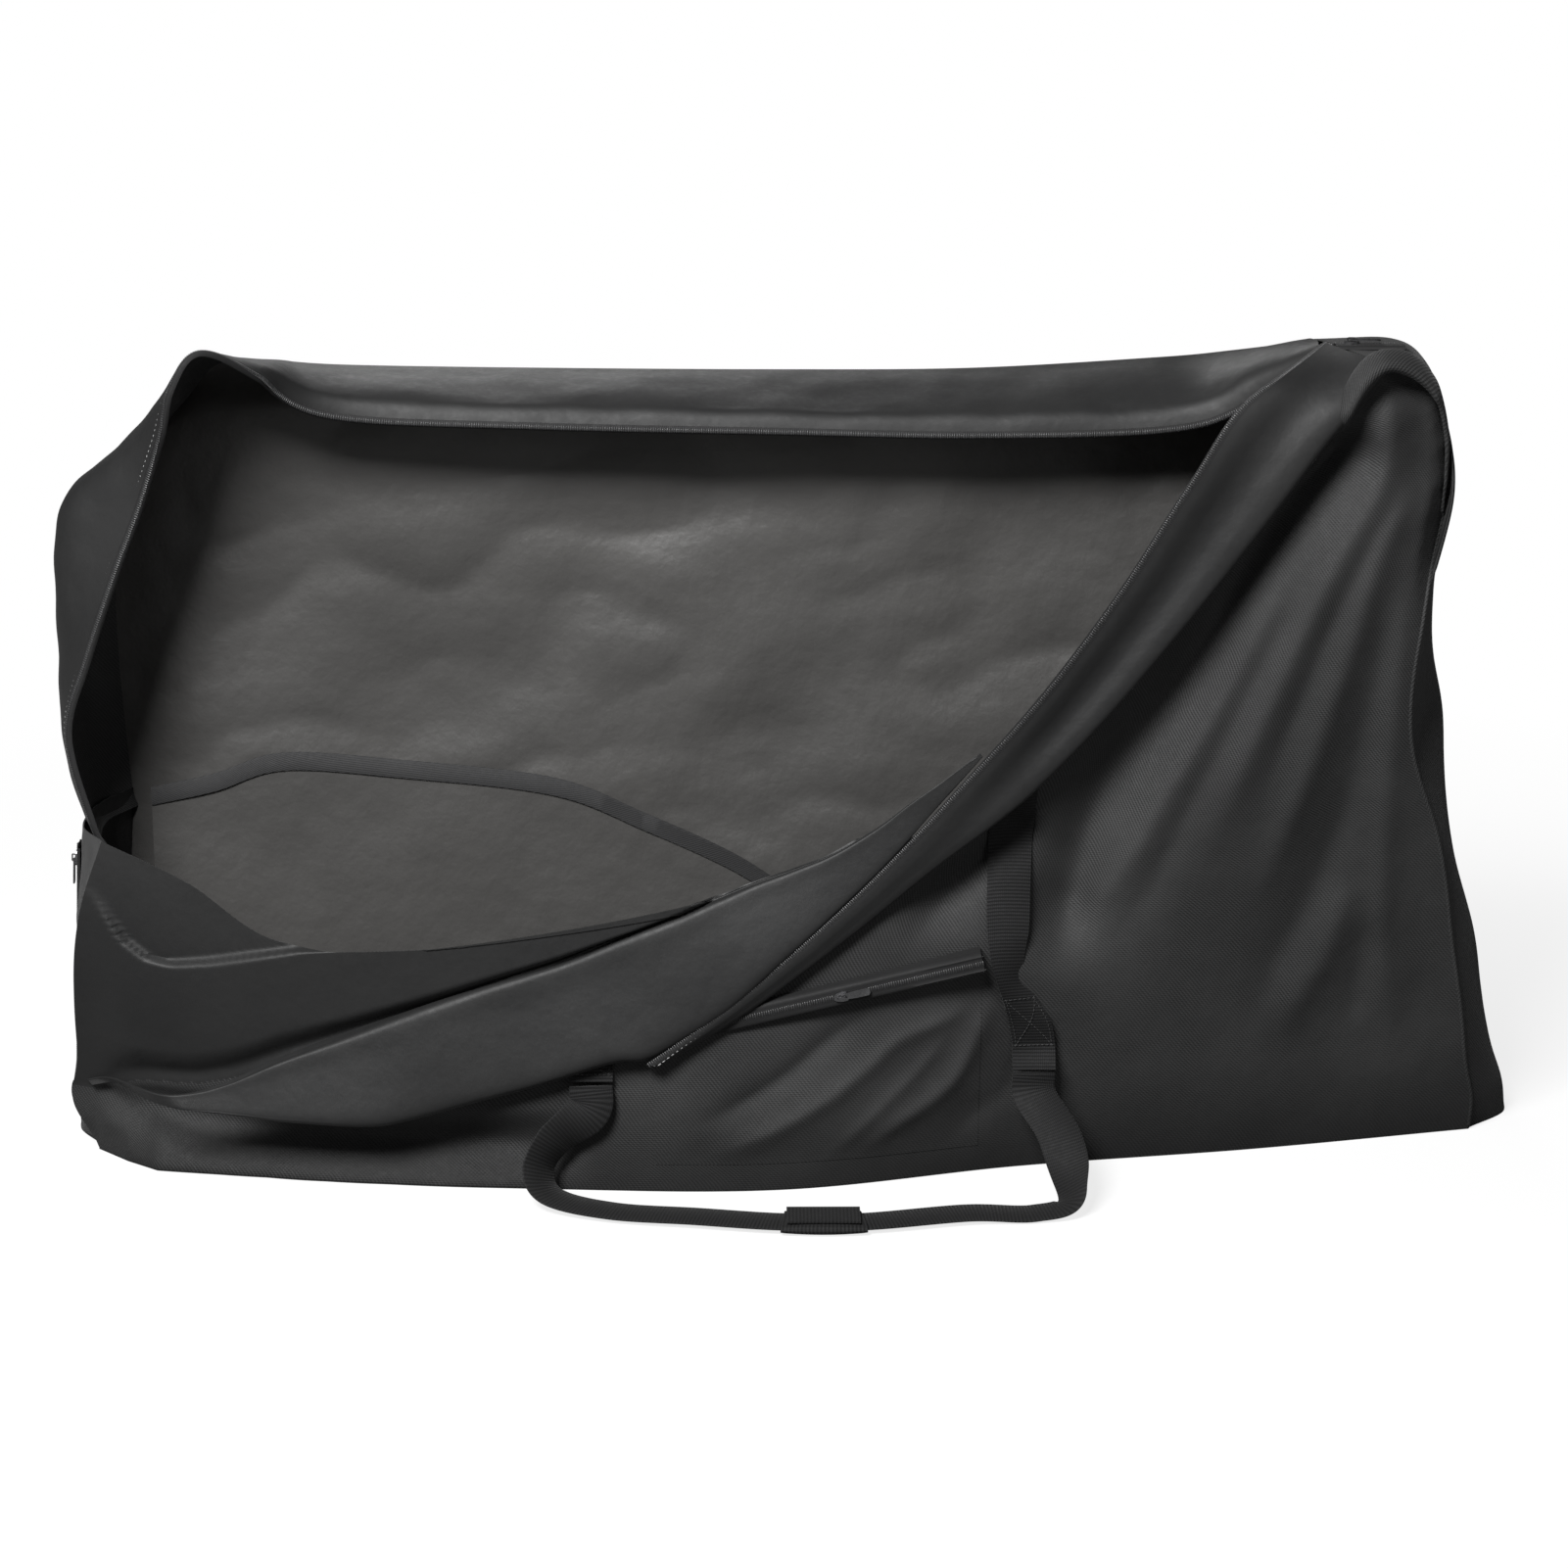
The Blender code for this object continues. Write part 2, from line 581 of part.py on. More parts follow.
def crease_line(tree):
    """The straight crease that the flap hangs from, as far back as the front panel lets it lie."""
    start, end = (face_place(share) for share in FLAP_RIM_SHARES)
    samples = 2 * len(FLAP_LOW_SHARES)
    points = [start.lerp(end, k / samples) for k in range(samples + 1)]
    covered = [p for p in points if hit(tree, Vector((p.x, -BAG_LENGTH, p.z)), BACK)]
    most = min(front_face_y(tree, p.x, p.z) for p in covered)
    forward = most - FLAP_RIM_RADIUS - LAP_GAP
    return Vector((start.x, forward, start.z)), Vector((end.x, forward, end.z))


def make_flap(tree, material):
    """A thin leaf with a round rim along its crease, so that it can swing without touching the panel."""
    start, end = crease_line(tree)
    axis = (end - start).normalized()
    down = BACK.cross(axis).normalized()
    low = smooth([face_place(share) for share in FLAP_LOW_SHARES], PANEL_STEPS)
    columns = len(low) - 1
    profile_rows = []
    for j, foot in enumerate(low):
        rim = start + axis * ((end - start).length * j / columns)
        foot = Vector((foot.x, start.y - FLAP_FORWARD, foot.z))
        middle = rim.lerp(foot, 0.5) - BACK * FLAP_FORWARD / 2
        profile_rows.append((rim, middle, foot))
    bm = bmesh.new()
    rings = []
    for rim, middle, foot in profile_rows:
        away = (foot - rim).normalized()
        outline = []
        for k in range(FLAP_RIM_FACETS + 1):
            angle = math.pi * k / FLAP_RIM_FACETS
            outline.append(rim - away * FLAP_RIM_RADIUS * math.sin(angle) + BACK * FLAP_RIM_RADIUS * math.cos(angle))
        half = CLOTH / 2
        outline += [middle - BACK * half, foot - BACK * half, foot + BACK * half, middle + BACK * half]
        rings.append([bm.verts.new(p) for p in outline])
    skin_rings(bm, rings)
    return add_object("front_flap", bm, material)


def skin_rings(bm, rings):
    """Joins closed rings of vertices side by side and caps both ends."""
    count = len(rings[0])
    for a, b in zip(rings, rings[1:]):
        for k in range(count):
            m = (k + 1) % count
            bm.faces.new((a[k], a[m], b[m], b[k]))
    bm.faces.new(rings[0])
    bm.faces.new(rings[-1])


# Pieces inside and on the front


def make_wheel_pocket():
    top = smooth([face_place(share) for share in WHEEL_POCKET_TOP_SHARES], PANEL_STEPS)
    y = BACK_SEAM - WHEEL_POCKET_STANDOFF
    grid = [[Vector((p.x, y, WALL_FOOT)) for p in top], [Vector((p.x, y, p.z)) for p in top]]
    name = "inner_wheel_pocket"
    sheet(name, grid, lambda i, j: -BACK * CLOTH, lining(name))
    front = y - CLOTH - SEAM_GAP
    band = [[Vector((p.x, front, p.z - BINDING_WIDTH)) for p in top], [Vector((p.x, front, p.z)) for p in top]]
    name = "inner_pocket_binding"
    sheet(name, band, lambda i, j: -BACK * BINDING_THICKNESS, webbing(name))


def laid_on(tree, x, z, standoff):
    """A place in front of the front panel's outer face."""
    return Vector((x, front_face_y(tree, x, z) - standoff, z))


def pocket_top(x):
    left, right = (share * BAG_HEIGHT for share in POCKET_TOP_SHARES)
    return left + (right - left) * (x - POCKET_LEFT) / (POCKET_RIGHT - POCKET_LEFT)


def make_front_pocket(tree, columns=14, rows=6):
    foot = POCKET_FOOT_SHARE * BAG_HEIGHT
    grid = []
    for i in range(rows + 1):
        row = []
        for j in range(columns + 1):
            x = POCKET_LEFT + (POCKET_RIGHT - POCKET_LEFT) * j / columns
            z = foot + (pocket_top(x) - foot) * i / rows
            row.append(laid_on(tree, x, z, LAP_GAP))
        grid.append(row)
    sheet("front_pocket", grid, lambda i, j: -BACK * POCKET_THICKNESS, outer_cloth("front_pocket"))


def straight_frame(name, start, end, outward):
    """An empty with its X axis along a zip, towards its end, and its Z axis out of the cloth."""
    along = (end - start).normalized()
    out = (outward - along * outward.dot(along)).normalized()
    across = out.cross(along)
    frame = bpy.data.objects.new(name, None)
    frame.matrix_world = Matrix.Translation(start) @ Matrix((along, across, out)).transposed().to_4x4()
    bpy.context.scene.collection.objects.link(frame)
    return frame


def bar_mesh(length, width, thickness, start=0.0):
    bm = bmesh.new()
    bmesh.ops.create_cube(bm, size=1)
    shape = Matrix.Diagonal((length, width, thickness, 1))
    centre = Matrix.Translation((start + length / 2, 0, thickness / 2))
    bmesh.ops.transform(bm, matrix=centre @ shape, verts=bm.verts)
    return bm


def extrude_outline(outline, thickness, base):
    """A flat plate from its outline, a list of (x, y)."""
    bm = bmesh.new()
    face = bm.faces.new([bm.verts.new((x, y, base)) for x, y in outline])
    made = bmesh.ops.extrude_face_region(bm, geom=[face])
    tops = [v for v in made["geom"] if isinstance(v, bmesh.types.BMVert)]
    bmesh.ops.translate(bm, vec=(0, 0, thickness), verts=tops)
    return bm


def slider_outline():
    """A slider's body seen from above: a wide nose with two shoulders and a narrower tail."""
    half = SLIDER_LENGTH / 2
    nose = SLIDER_NOSE / 2
    tail = SLIDER_TAIL / 2
    shoulder = half - nose / 2
    side = [(half, nose / 2), (shoulder, nose), (0, nose), (-half + tail / 2, tail), (-half, tail / 2)]
    return side + [(x, -y) for x, y in reversed(side)]


def make_slider(name, frame, place_along, standoff):
    """A slider's body with the bridge that holds its pull, one closed solid."""
    body = extrude_outline(slider_outline(), SLIDER_THICKNESS, 0)
    obj = add_object(name, body, metal(name), frame)
    top = SLIDER_THICKNESS
    half = BRIDGE_LENGTH / 2
    inner = half - BRIDGE_BAR
    sink = SLIDER_THICKNESS / 2
    arch = [
        (-half, top - sink), (-half, top + BRIDGE_HEIGHT - BRIDGE_BAR), (-inner, top + BRIDGE_HEIGHT),
        (inner, top + BRIDGE_HEIGHT), (half, top + BRIDGE_HEIGHT - BRIDGE_BAR), (half, top - sink),
        (inner, top - sink), (inner, top + BRIDGE_HEIGHT - BRIDGE_BAR), (-inner, top + BRIDGE_HEIGHT - BRIDGE_BAR),
        (-inner, top - sink),
    ]
    bridge = extrude_outline(arch, BRIDGE_WIDTH, -BRIDGE_WIDTH / 2)
    bmesh.ops.rotate(bridge, verts=bridge.verts, matrix=Matrix.Rotation(math.radians(90), 3, "X"))
    cutter = add_object(f"{name}_bridge_form", bridge, metal(f"{name}_bridge"), frame)
    cutter.hide_render = True
    cutter.display_type = "WIRE"
    union = obj.modifiers.new("bridge", "BOOLEAN")
    union.operation = "UNION"
    union.object = cutter
    for piece in (obj, cutter):
        piece.location = (place_along, 0, standoff)
    return obj


def pull_axis_height():
    return SLIDER_THICKNESS + (BRIDGE_HEIGHT - BRIDGE_BAR) / 2


def make_pull(name, frame, place_along, standoff):
    """A pull: a flat plate whose end bar passes under the bridge. Its origin is on the bar's axis."""
    bar = PULL_BAR / 2
    slot_end = bar + PULL_SLOT_LENGTH
    tip = PULL_LENGTH
    neck = PULL_NECK / 2
    half = PULL_WIDTH / 2
    corner = half / 2
    outline = [(-bar, -neck), (slot_end, -neck), (tip / 2, -half), (tip - corner, -half), (tip, -half + corner)]
    outline += [(x, -y) for x, y in reversed(outline)]
    plate = extrude_outline(outline, PULL_THICKNESS, -PULL_THICKNESS / 2)
    obj = add_object(name, plate, metal(name), frame)
    slot = bar_mesh(PULL_SLOT_LENGTH, PULL_SLOT_WIDTH, 2 * PULL_THICKNESS, bar)
    bmesh.ops.translate(slot, vec=(0, 0, -PULL_THICKNESS), verts=slot.verts)
    cutter = add_object(f"{name}_slot_form", slot, metal(f"{name}_slot"), frame)
    cutter.hide_render = True
    cutter.display_type = "WIRE"
    cut = obj.modifiers.new("slot", "BOOLEAN")
    cut.operation = "DIFFERENCE"
    cut.object = cutter
    for piece in (obj, cutter):
        piece.location = (place_along, 0, standoff + pull_axis_height())
    return obj


def make_closed_zip(name, frame, length, width, thickness):
    bm = bar_mesh(length, width, thickness)
    return add_object(name, bm, tape(name), frame)


def make_pocket_zip(tree):
    """The pocket's zip, straight along the pocket's top, with its slider at the left."""
    samples = 12
    ends = [POCKET_LEFT, POCKET_RIGHT]
    line = [ends[0] + (ends[1] - ends[0]) * k / samples for k in range(samples + 1)]
    reach = POCKET_ZIP_WIDTH / 2
    face = min(
        front_face_y(tree, x, pocket_top(x) + side * reach) for x in line for side in (-1, 0, 1)
    )
    y = face - POCKET_THICKNESS - LAP_GAP - LAP_GAP
    start = Vector((ends[0], y, pocket_top(ends[0])))
    end = Vector((ends[1], y, pocket_top(ends[1])))
    frame = straight_frame("pocket_zip_line", start, end, -BACK)
    make_closed_zip("pocket_zip_tape", frame, (end - start).length, POCKET_ZIP_WIDTH, POCKET_ZIP_THICKNESS)
    standoff = POCKET_ZIP_THICKNESS + LAP_GAP
    make_slider("pocket_zip_slider", frame, POCKET_SLIDER_REST, standoff)
    make_pull("pocket_zip_pull", frame, POCKET_SLIDER_REST, standoff)


def make_left_zip(left_gusset):
    tree = surface_tree(left_gusset)
    top, foot = (place((0, y, z)) for y, z in LEFT_ZIP_SHARES)
    across = BACK * (CLOSED_TAPE_WIDTH / 2)
    samples = 12
    faces = []
    for k in range(samples + 1):
        middle = top.lerp(foot, k / samples)
        starts = [middle + across * side - RIGHT * BAG_LENGTH for side in (-1, 0, 1)]
        faces.append(min(hit(tree, start, RIGHT).x for start in starts))
    slack = min(x - faces[0] - (faces[-1] - faces[0]) * k / samples for k, x in enumerate(faces))
    start = top + RIGHT * (faces[0] + slack - LAP_GAP)
    end = foot + RIGHT * (faces[-1] + slack - LAP_GAP)
    frame = straight_frame("left_zip_line", start, end, -RIGHT)
    make_closed_end("left", frame, (end - start).length)


def make_right_zip(right_gusset):
    tree = surface_tree(right_gusset)
    start, end = (place((x, y, 0)) for x, y in RIGHT_ZIP_SHARES)
    across = BACK * (CLOSED_TAPE_WIDTH / 2)
    samples = 8
    tops = []
    for k in range(samples + 1):
        middle = start.lerp(end, k / samples) + UP * 2 * BAG_HEIGHT
        found = [hit(tree, middle + across * side, -UP) for side in (-1, 0, 1)]
        tops += [point.z for point in found if point]
    rise = UP * (max(tops) + LAP_GAP)
    frame = straight_frame("right_zip_line", start + rise, end + rise, UP)
    make_closed_end("right", frame, (end - start).length)


def make_closed_end(side, frame, length):
    """A closed end of the main zip, with its slider at the start."""
    make_closed_zip(f"{side}_zip_closed", frame, length, CLOSED_TAPE_WIDTH, CLOSED_TAPE_THICKNESS)
    standoff = CLOSED_TAPE_THICKNESS + LAP_GAP
    make_slider(f"{side}_zip_slider", frame, SLIDER_LENGTH, standoff)
    make_pull(f"{side}_zip_pull", frame, SLIDER_LENGTH, standoff)


# Webbing handles


def make_leg(name, low, high, axis, face_y, side):
    """The sewn part of a handle. Its foot leaves the panel and ends over the loop's rolled end."""
    grid = []
    half = STRAP_WIDTH / 2
    clear = STRAP_THICKNESS / 2
    for i in range(LEG_STEPS + 1):
        share = i / LEG_STEPS
        centre = low.lerp(high, share)
        row = []
        for offset in (-half, -half / 2, 0, half / 2, half):
            x = centre.x + offset
            y = face_y(x, centre.z) + side * LAP_GAP
            if i == 0:
                y = low.y + offset * axis.y / axis.x - side * clear
            row.append(Vector((x, y, centre.z)))
        grid.append(row)
    sheet(name, grid, lambda i, j: BACK * side * STRAP_THICKNESS, webbing(name))


def loop_stations(left, right, side):
    """The loop's centre line, and the way its width points, between the two ends of a handle."""
    middle = left.lerp(right, 0.5)
    spread = right.x - left.x
    centres, hints = [], []
    for (across, outward, height), (turn_x, turn_y) in zip(HANDLE_ROUTE_SHARES, HANDLE_TURN_SHARES):
        base_y = left.y + (right.y - left.y) * min(max(across + 0.5, 0), 1)
        lowest = STRAP_THICKNESS / 2 + FLOOR_CLEARANCE
        z = max(height * middle.z, lowest)
        centres.append(Vector((middle.x + across * spread, base_y + side * outward * HANDLE_REACH, z)))
        hints.append(Vector((turn_x, side * turn_y, 0)))
    for k in (GRIP_FIRST_STATION - 1, GRIP_FIRST_STATION, GRIP_LAST_STATION, GRIP_LAST_STATION + 1):
        centres[k].z = GRIP_HEIGHT / 2 + FLOOR_CLEARANCE
    centres[0], centres[-1] = left.copy(), right.copy()
    hints[0], hints[-1] = (right - left).normalized(), (left - right).normalized()
    return smooth(centres, HANDLE_STEPS), smooth(hints, HANDLE_STEPS)


def strap_frames(centres, hints):
    """For each place on the strap: its centre, and unit vectors across its width and out of its face."""
    frames = []
    for k, centre in enumerate(centres):
        along = (centres[min(k + 1, len(centres) - 1)] - centres[max(k - 1, 0)]).normalized()
        if k in (0, len(centres) - 1):
            along = -UP if k == 0 else UP
        across = (hints[k] - along * hints[k].dot(along)).normalized()
        frames.append((centre, across, along.cross(across).normalized(), along))
    return frames


def make_loop(name, frames):
    """A flat strap with both ends rolled round, so that they turn in place under the sewn legs."""
    bm = bmesh.new()
    half = STRAP_WIDTH / 2
    thin = STRAP_THICKNESS / 2
    rings = []
    for centre, across, out, along in frames:
        corners = ((-half, -thin), (half, -thin), (half, thin), (-half, thin))
        rings.append([centre + across * a + out * b for a, b in corners])
    for last, step in ((0, -1), (-1, 1)):
        centre, across, out, along = frames[last]
        caps = []
        for degrees in (30, 60, 80):
            lean = math.radians(degrees)
            ahead = along * step * thin * math.sin(lean)
            narrow = thin * math.cos(lean)
            corners = ((-half, -narrow), (half, -narrow), (half, narrow), (-half, narrow))
            caps.append([centre + ahead + across * a + out * b for a, b in corners])
        rings = list(reversed(caps)) + rings if last == 0 else rings + caps
    skin_rings(bm, [[bm.verts.new(p) for p in ring] for ring in rings])
    return add_object(name, bm, webbing(name))


def grip_section(width, height, corner):
    """A rectangle with cut corners, as (across, out) pairs."""
    a, b = width / 2, height / 2
    return [
        (a - corner, b), (a, b - corner), (a, -b + corner), (a - corner, -b), (-a + corner, -b),
        (-a, -b + corner), (-a, b - corner), (-a + corner, b),
    ]


def make_grip(name, frames):
    """A padded sleeve round the middle of the loop, open at both ends."""
    bm = bmesh.new()
    outer_section = grip_section(GRIP_WIDTH, GRIP_HEIGHT, GRIP_CORNER)
    inner_section = grip_section(GRIP_HOLE_WIDTH, GRIP_HOLE_HEIGHT, GRIP_HOLE_HEIGHT / 2 / 2)
    skins = []
    for section in (outer_section, inner_section):
        rings = []
        for centre, across, out, along in frames:
            rings.append([bm.verts.new(centre + across * a + out * b) for a, b in section])
        for first, second in zip(rings, rings[1:]):
            for k in range(len(section)):
                m = (k + 1) % len(section)
                bm.faces.new((first[k], first[m], second[m], second[k]))
        skins.append(rings)
    for end in (0, -1):
        for k in range(len(outer_section)):
            m = (k + 1) % len(outer_section)
            bm.faces.new((skins[0][end][k], skins[0][end][m], skins[1][end][m], skins[1][end][k]))
    return add_object(name, bm, webbing(name))


def make_grip_flap(name, frames, side):
    """The closing flap of the grip: a straight plate on the sleeve's top, hinged along its inner edge."""
    first, last = frames[0][0], frames[-1][0]
    along = Vector((last.x - first.x, last.y - first.y, 0))
    length = along.length
    across = Vector((-along.y, along.x, 0)).normalized() * -side
    rise = GRIP_HEIGHT / 2 + LAP_GAP + GRIP_FLAP_THICKNESS / 2
    hinge = first.lerp(last, 0.5) + UP * rise - across * GRIP_FLAP_WIDTH / 2
    frame = bpy.data.objects.new(f"{name}_hinge", None)
    axes = Matrix((along.normalized(), across * side * -1, UP)).transposed()
    frame.matrix_world = Matrix.Translation(hinge) @ axes.to_4x4()
    bpy.context.scene.collection.objects.link(frame)
    reach = GRIP_FLAP_WIDTH * -side
    thin = GRIP_FLAP_THICKNESS / 2
    profile = [(0, thin), (reach, thin), (reach, -thin), (0, -thin)]
    for degrees in (225, 270, 315):
        turn = math.radians(degrees)
        profile.append((math.sin(turn) * thin * -side, -math.cos(turn) * thin * -1))
    bm = bmesh.new()
    rings = []
    for x in (-length / 2 + GRIP_FLAP_OVERHANG, length / 2 - GRIP_FLAP_OVERHANG):
        rings.append([bm.verts.new((x, y, z)) for y, z in profile])
    skin_rings(bm, rings)
    return add_object(name, bm, webbing(name), frame)


def make_handle(prefix, side, face_y):
    """A handle: two sewn legs, a loop that lies on the floor, and a grip. side is -1 in front, 1 behind."""
    spots = []
    half = STRAP_WIDTH / 2
    for x in (HANDLE_LEFT, HANDLE_RIGHT):
        faces = [face_y(x + offset, HANDLE_HEIGHT) * side for offset in (-half, 0, half)]
        spots.append(Vector((x, side * (max(faces) + HANDLE_STANDOFF), HANDLE_HEIGHT)))
    left, right = spots
    roll = STRAP_THICKNESS / 2 + HANDLE_GAP
    for label, spot, top_share, lean in (
        ("left", left, LEG_LEFT_TOP_SHARE, 0),
        ("right", right, LEG_RIGHT_TOP_SHARE, LEG_RIGHT_LEAN),
    ):
        low = spot + UP * roll
        high = Vector((spot.x + lean, spot.y, top_share * BAG_HEIGHT))
        make_leg(f"{prefix}_handle_leg_{label}", low, high, right - left, face_y, side)
    centres, hints = loop_stations(left, right, side)
    frames = strap_frames(centres, hints)
    make_loop(f"{prefix}_handle_loop", frames)
    grip_frames = frames[GRIP_FIRST_STATION * HANDLE_STEPS : GRIP_LAST_STATION * HANDLE_STEPS + 1]
    make_grip(f"{prefix}_handle_grip", grip_frames)
    make_grip_flap(f"{prefix}_grip_flap", grip_frames, side)


def main():
    clear_scene()
    right_grid, right_edge = right_side()
    left_grid, left_edge = left_side()
    right_gusset = make_gusset("right_gusset", right_grid, 1)
    left_gusset = make_gusset("left_lower_gusset", left_grid, -1)
    front, front_grid = make_front_panel(left_edge, right_edge)
    make_rear_gusset()
    make_back_panel(right_grid, left_grid)
    make_bottom_panel(left_grid, right_grid, front_grid)
    make_wheel_pocket()
    bpy.context.view_layer.update()
    tree = surface_tree(front)
    make_front_strip(front_grid)
    make_flap(tree, lining("front_flap"))
    make_front_pocket(tree)
    make_pocket_zip(tree)
    make_left_zip(left_gusset)
    make_right_zip(right_gusset)
    make_handle("front", -1, lambda x, z: front_face_y(tree, x, z))
    make_handle("back", 1, lambda x, z: BACK_SEAM + CLOTH)


main()
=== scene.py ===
# %% [markdown]
# # A soft travel bag for a bicycle, standing open
# The bag is a set of cloth panels sewn together round a long zip. This lesson dresses the plain solids of
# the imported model: each soft solid is replaced by cloth with its real folds, and the zips, stitches and
# webbing get their own detail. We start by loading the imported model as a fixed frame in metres.
# %% The frame
import math

import bpy
import numpy as np
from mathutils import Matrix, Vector, noise


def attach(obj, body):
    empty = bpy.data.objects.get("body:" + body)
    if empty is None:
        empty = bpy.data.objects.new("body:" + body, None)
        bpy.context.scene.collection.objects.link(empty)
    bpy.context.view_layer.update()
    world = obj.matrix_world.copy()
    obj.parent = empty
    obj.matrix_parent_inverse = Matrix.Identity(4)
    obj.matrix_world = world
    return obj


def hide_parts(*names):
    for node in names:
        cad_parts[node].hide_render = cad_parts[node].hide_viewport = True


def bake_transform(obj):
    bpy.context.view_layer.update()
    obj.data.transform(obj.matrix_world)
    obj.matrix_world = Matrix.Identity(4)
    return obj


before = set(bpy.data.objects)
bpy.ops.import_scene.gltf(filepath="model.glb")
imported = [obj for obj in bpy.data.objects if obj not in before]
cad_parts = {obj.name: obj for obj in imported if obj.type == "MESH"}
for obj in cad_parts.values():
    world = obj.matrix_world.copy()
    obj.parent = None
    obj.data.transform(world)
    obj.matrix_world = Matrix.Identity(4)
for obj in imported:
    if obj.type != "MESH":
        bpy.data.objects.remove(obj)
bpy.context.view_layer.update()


def linked(name, data):
    """A new object with this data, put into the scene."""
    obj = bpy.data.objects.new(name, data)
    bpy.context.scene.collection.objects.link(obj)
    return obj


# %% [markdown]
# ## The camera
# A picture taken from a step back, a little above the bag and straight at its front. A long lens keeps the
# top and the foot of the bag almost the same size. The direction and the lens were found from the way the
# floor and the bag's depth recede.
# %% The camera
CAMERA_DISTANCE = 4.2
CAMERA_DROP = math.radians(15)
CAMERA_TARGET_HEIGHT = 0.393
PICTURE_WIDTH = 1601
FOCAL_PIXELS = 4032
SENSOR_WIDTH = 36

camera_data = bpy.data.cameras.new("camera")
camera_data.sensor_width = SENSOR_WIDTH
camera_data.lens = SENSOR_WIDTH * FOCAL_PIXELS / PICTURE_WIDTH
camera = linked("camera", camera_data)
camera.location = (
    0, -CAMERA_DISTANCE * math.cos(CAMERA_DROP), CAMERA_TARGET_HEIGHT + CAMERA_DISTANCE * math.sin(CAMERA_DROP)
)
camera.rotation_euler = (math.pi / 2 - CAMERA_DROP, 0, 0)
bpy.context.scene.camera = camera
bpy.context.scene.view_settings.view_transform = "Standard"
print("lens", round(camera_data.lens, 2), "mm")

# %% [markdown]
# ## Shapes of the sewn bag
# The tables below are the same as those the solids were made from: thousandths of the bag's length, depth and
# height. Using them again means that every cloth lies where its solid is, only much finer.
# %% Sizes and tables
LENGTH, DEPTH, HEIGHT = 1.50, 0.26, 0.83
BACK_SEAM = DEPTH / 2
SOLID_CLOTH = 0.003
CLOTH = 0.0016
FLOOR_GAP = 0.0003

REAR_RING = np.array((
    ((-477, 500, 434), (-497, 269, 435), (-495, 0, 436), (-487, -192, 439)),
    ((-481, 500, 542), (-505, 308, 542), (-511, 38, 545), (-501, -192, 554)),
    ((-483, 500, 651), (-507, 308, 657), (-509, 38, 663), (-486, -192, 653)),
    ((-481, 500, 759), (-505, 308, 765), (-508, 38, 771), (-464, -192, 764)),
    ((-474, 500, 840), (-492, 308, 845), (-497, 38, 850), (-445, -192, 849)),
    ((-449, 500, 898), (-458, 308, 902), (-461, 0, 911), (-428, -231, 935)),
    ((-426, 500, 945), (-430, 308, 950), (-434, 0, 965), (-419, -231, 994)),
    ((-403, 500, 990), (-406, 308, 1002), (-406, 38, 1020), (-399, -192, 1039)),
    ((-367, 500, 994), (-367, 308, 1002), (-363, 77, 1014), (-357, -77, 1014)),
    ((-313, 500, 988), (-313, 308, 998), (-313, 115, 988), (-313, 58, 961)),
    ((-173, 500, 984), (-173, 308, 990), (-173, 154, 978), (-173, 77, 947)),
    ((0, 500, 982), (0, 308, 988), (0, 154, 973), (0, 77, 940)),
    ((133, 500, 984), (133, 308, 990), (133, 154, 971), (133, 77, 935)),
    ((267, 500, 998), (267, 308, 1002), (267, 154, 982), (267, 77, 942)),
    ((320, 500, 1007), (320, 308, 1014), (320, 115, 1010), (320, 38, 976)),
    ((369, 500, 1018), (369, 308, 1031), (369, 77, 1039), (367, -77, 1041)),
)) / 1000
# The station after which the left part ends and the top begins
REAR_CORNER = 7
RIGHT_RING = np.array((
    ((527, 500, 0), (530, 269, 0)), ((508, 500, 145), (512, 192, 145)),
    ((498, 500, 265), (501, 154, 265)), ((476, 500, 410), (477, 115, 410)),
    ((469, 500, 554), (469, 115, 554)), ((464, 500, 723), (458, 115, 723)),
    ((476, 500, 867), (467, 115, 867)), ((466, 500, 952), (459, 115, 958)),
    ((447, 500, 1006), (445, 115, 1014)), ((420, 500, 1024), (423, 115, 1039)),
    ((373, 500, 1019), (373, 115, 1040)),
)) / 1000
RIGHT_FRONT = np.array((
    (497, 0), (488, 145), (479, 265), (460, 410), (437, 554), (440, 723),
    (456, 867), (450, 952), (438, 1002), (422, 1029), (403, 1036),
)) / 1000
LEFT_RING = np.array((
    ((-480, 500, 0), (-508, 269, 0), (-512, 60, 0)),
    ((-485, 500, 108), (-505, 250, 108), (-508, 0, 108)),
    ((-487, 500, 217), (-502, 231, 217), (-503, -60, 217)),
    ((-481, 500, 325), (-498, 231, 325), (-499, -115, 325)),
    ((-477, 500, 428), (-494, 231, 428), (-495, -115, 428)),
)) / 1000
LEFT_FRONT = np.array(((-490, 0), (-500, 120), (-495, 241), (-487, 349), (-472, 436))) / 1000
FRONT_BOTTOM = np.array((
    -490, -427, -360, -280, -193, -107, -33, 33, 107, 180, 253, 333, 413, 497,
)) / 1000
FRONT_TOP = np.array((
    (-472, 436), (-412, 388), (-350, 320), (-256, 317), (-147, 341), (-50, 370),
    (20, 395), (84, 430), (159, 500), (213, 596), (268, 713), (320, 831),
    (363, 934), (403, 1036),
)) / 1000
FRONT_DEPTH = np.array((
    (-120, -527, -650, -662, -388, -192, 58),
    (-404, -577, -646, -615, -577, -365, -115),
    (-346, -462, -538, -558, -558, -481, -269),
    (-308, -385, -462, -500, -500, -481, -212),
)) / 1000
STRIP_ZIP = np.array((
    (371, 1046), (313, 990), (275, 894), (229, 761), (180, 639), (130, 534),
    (73, 422), (13, 319), (-44, 236), (-90, 175),
)) / 1000
STRIP_SEAM_LOW = np.array(((154, 0, 350), (60, 0, 272), (-28, 0, 206), (-125, 0, 146))) / 1000
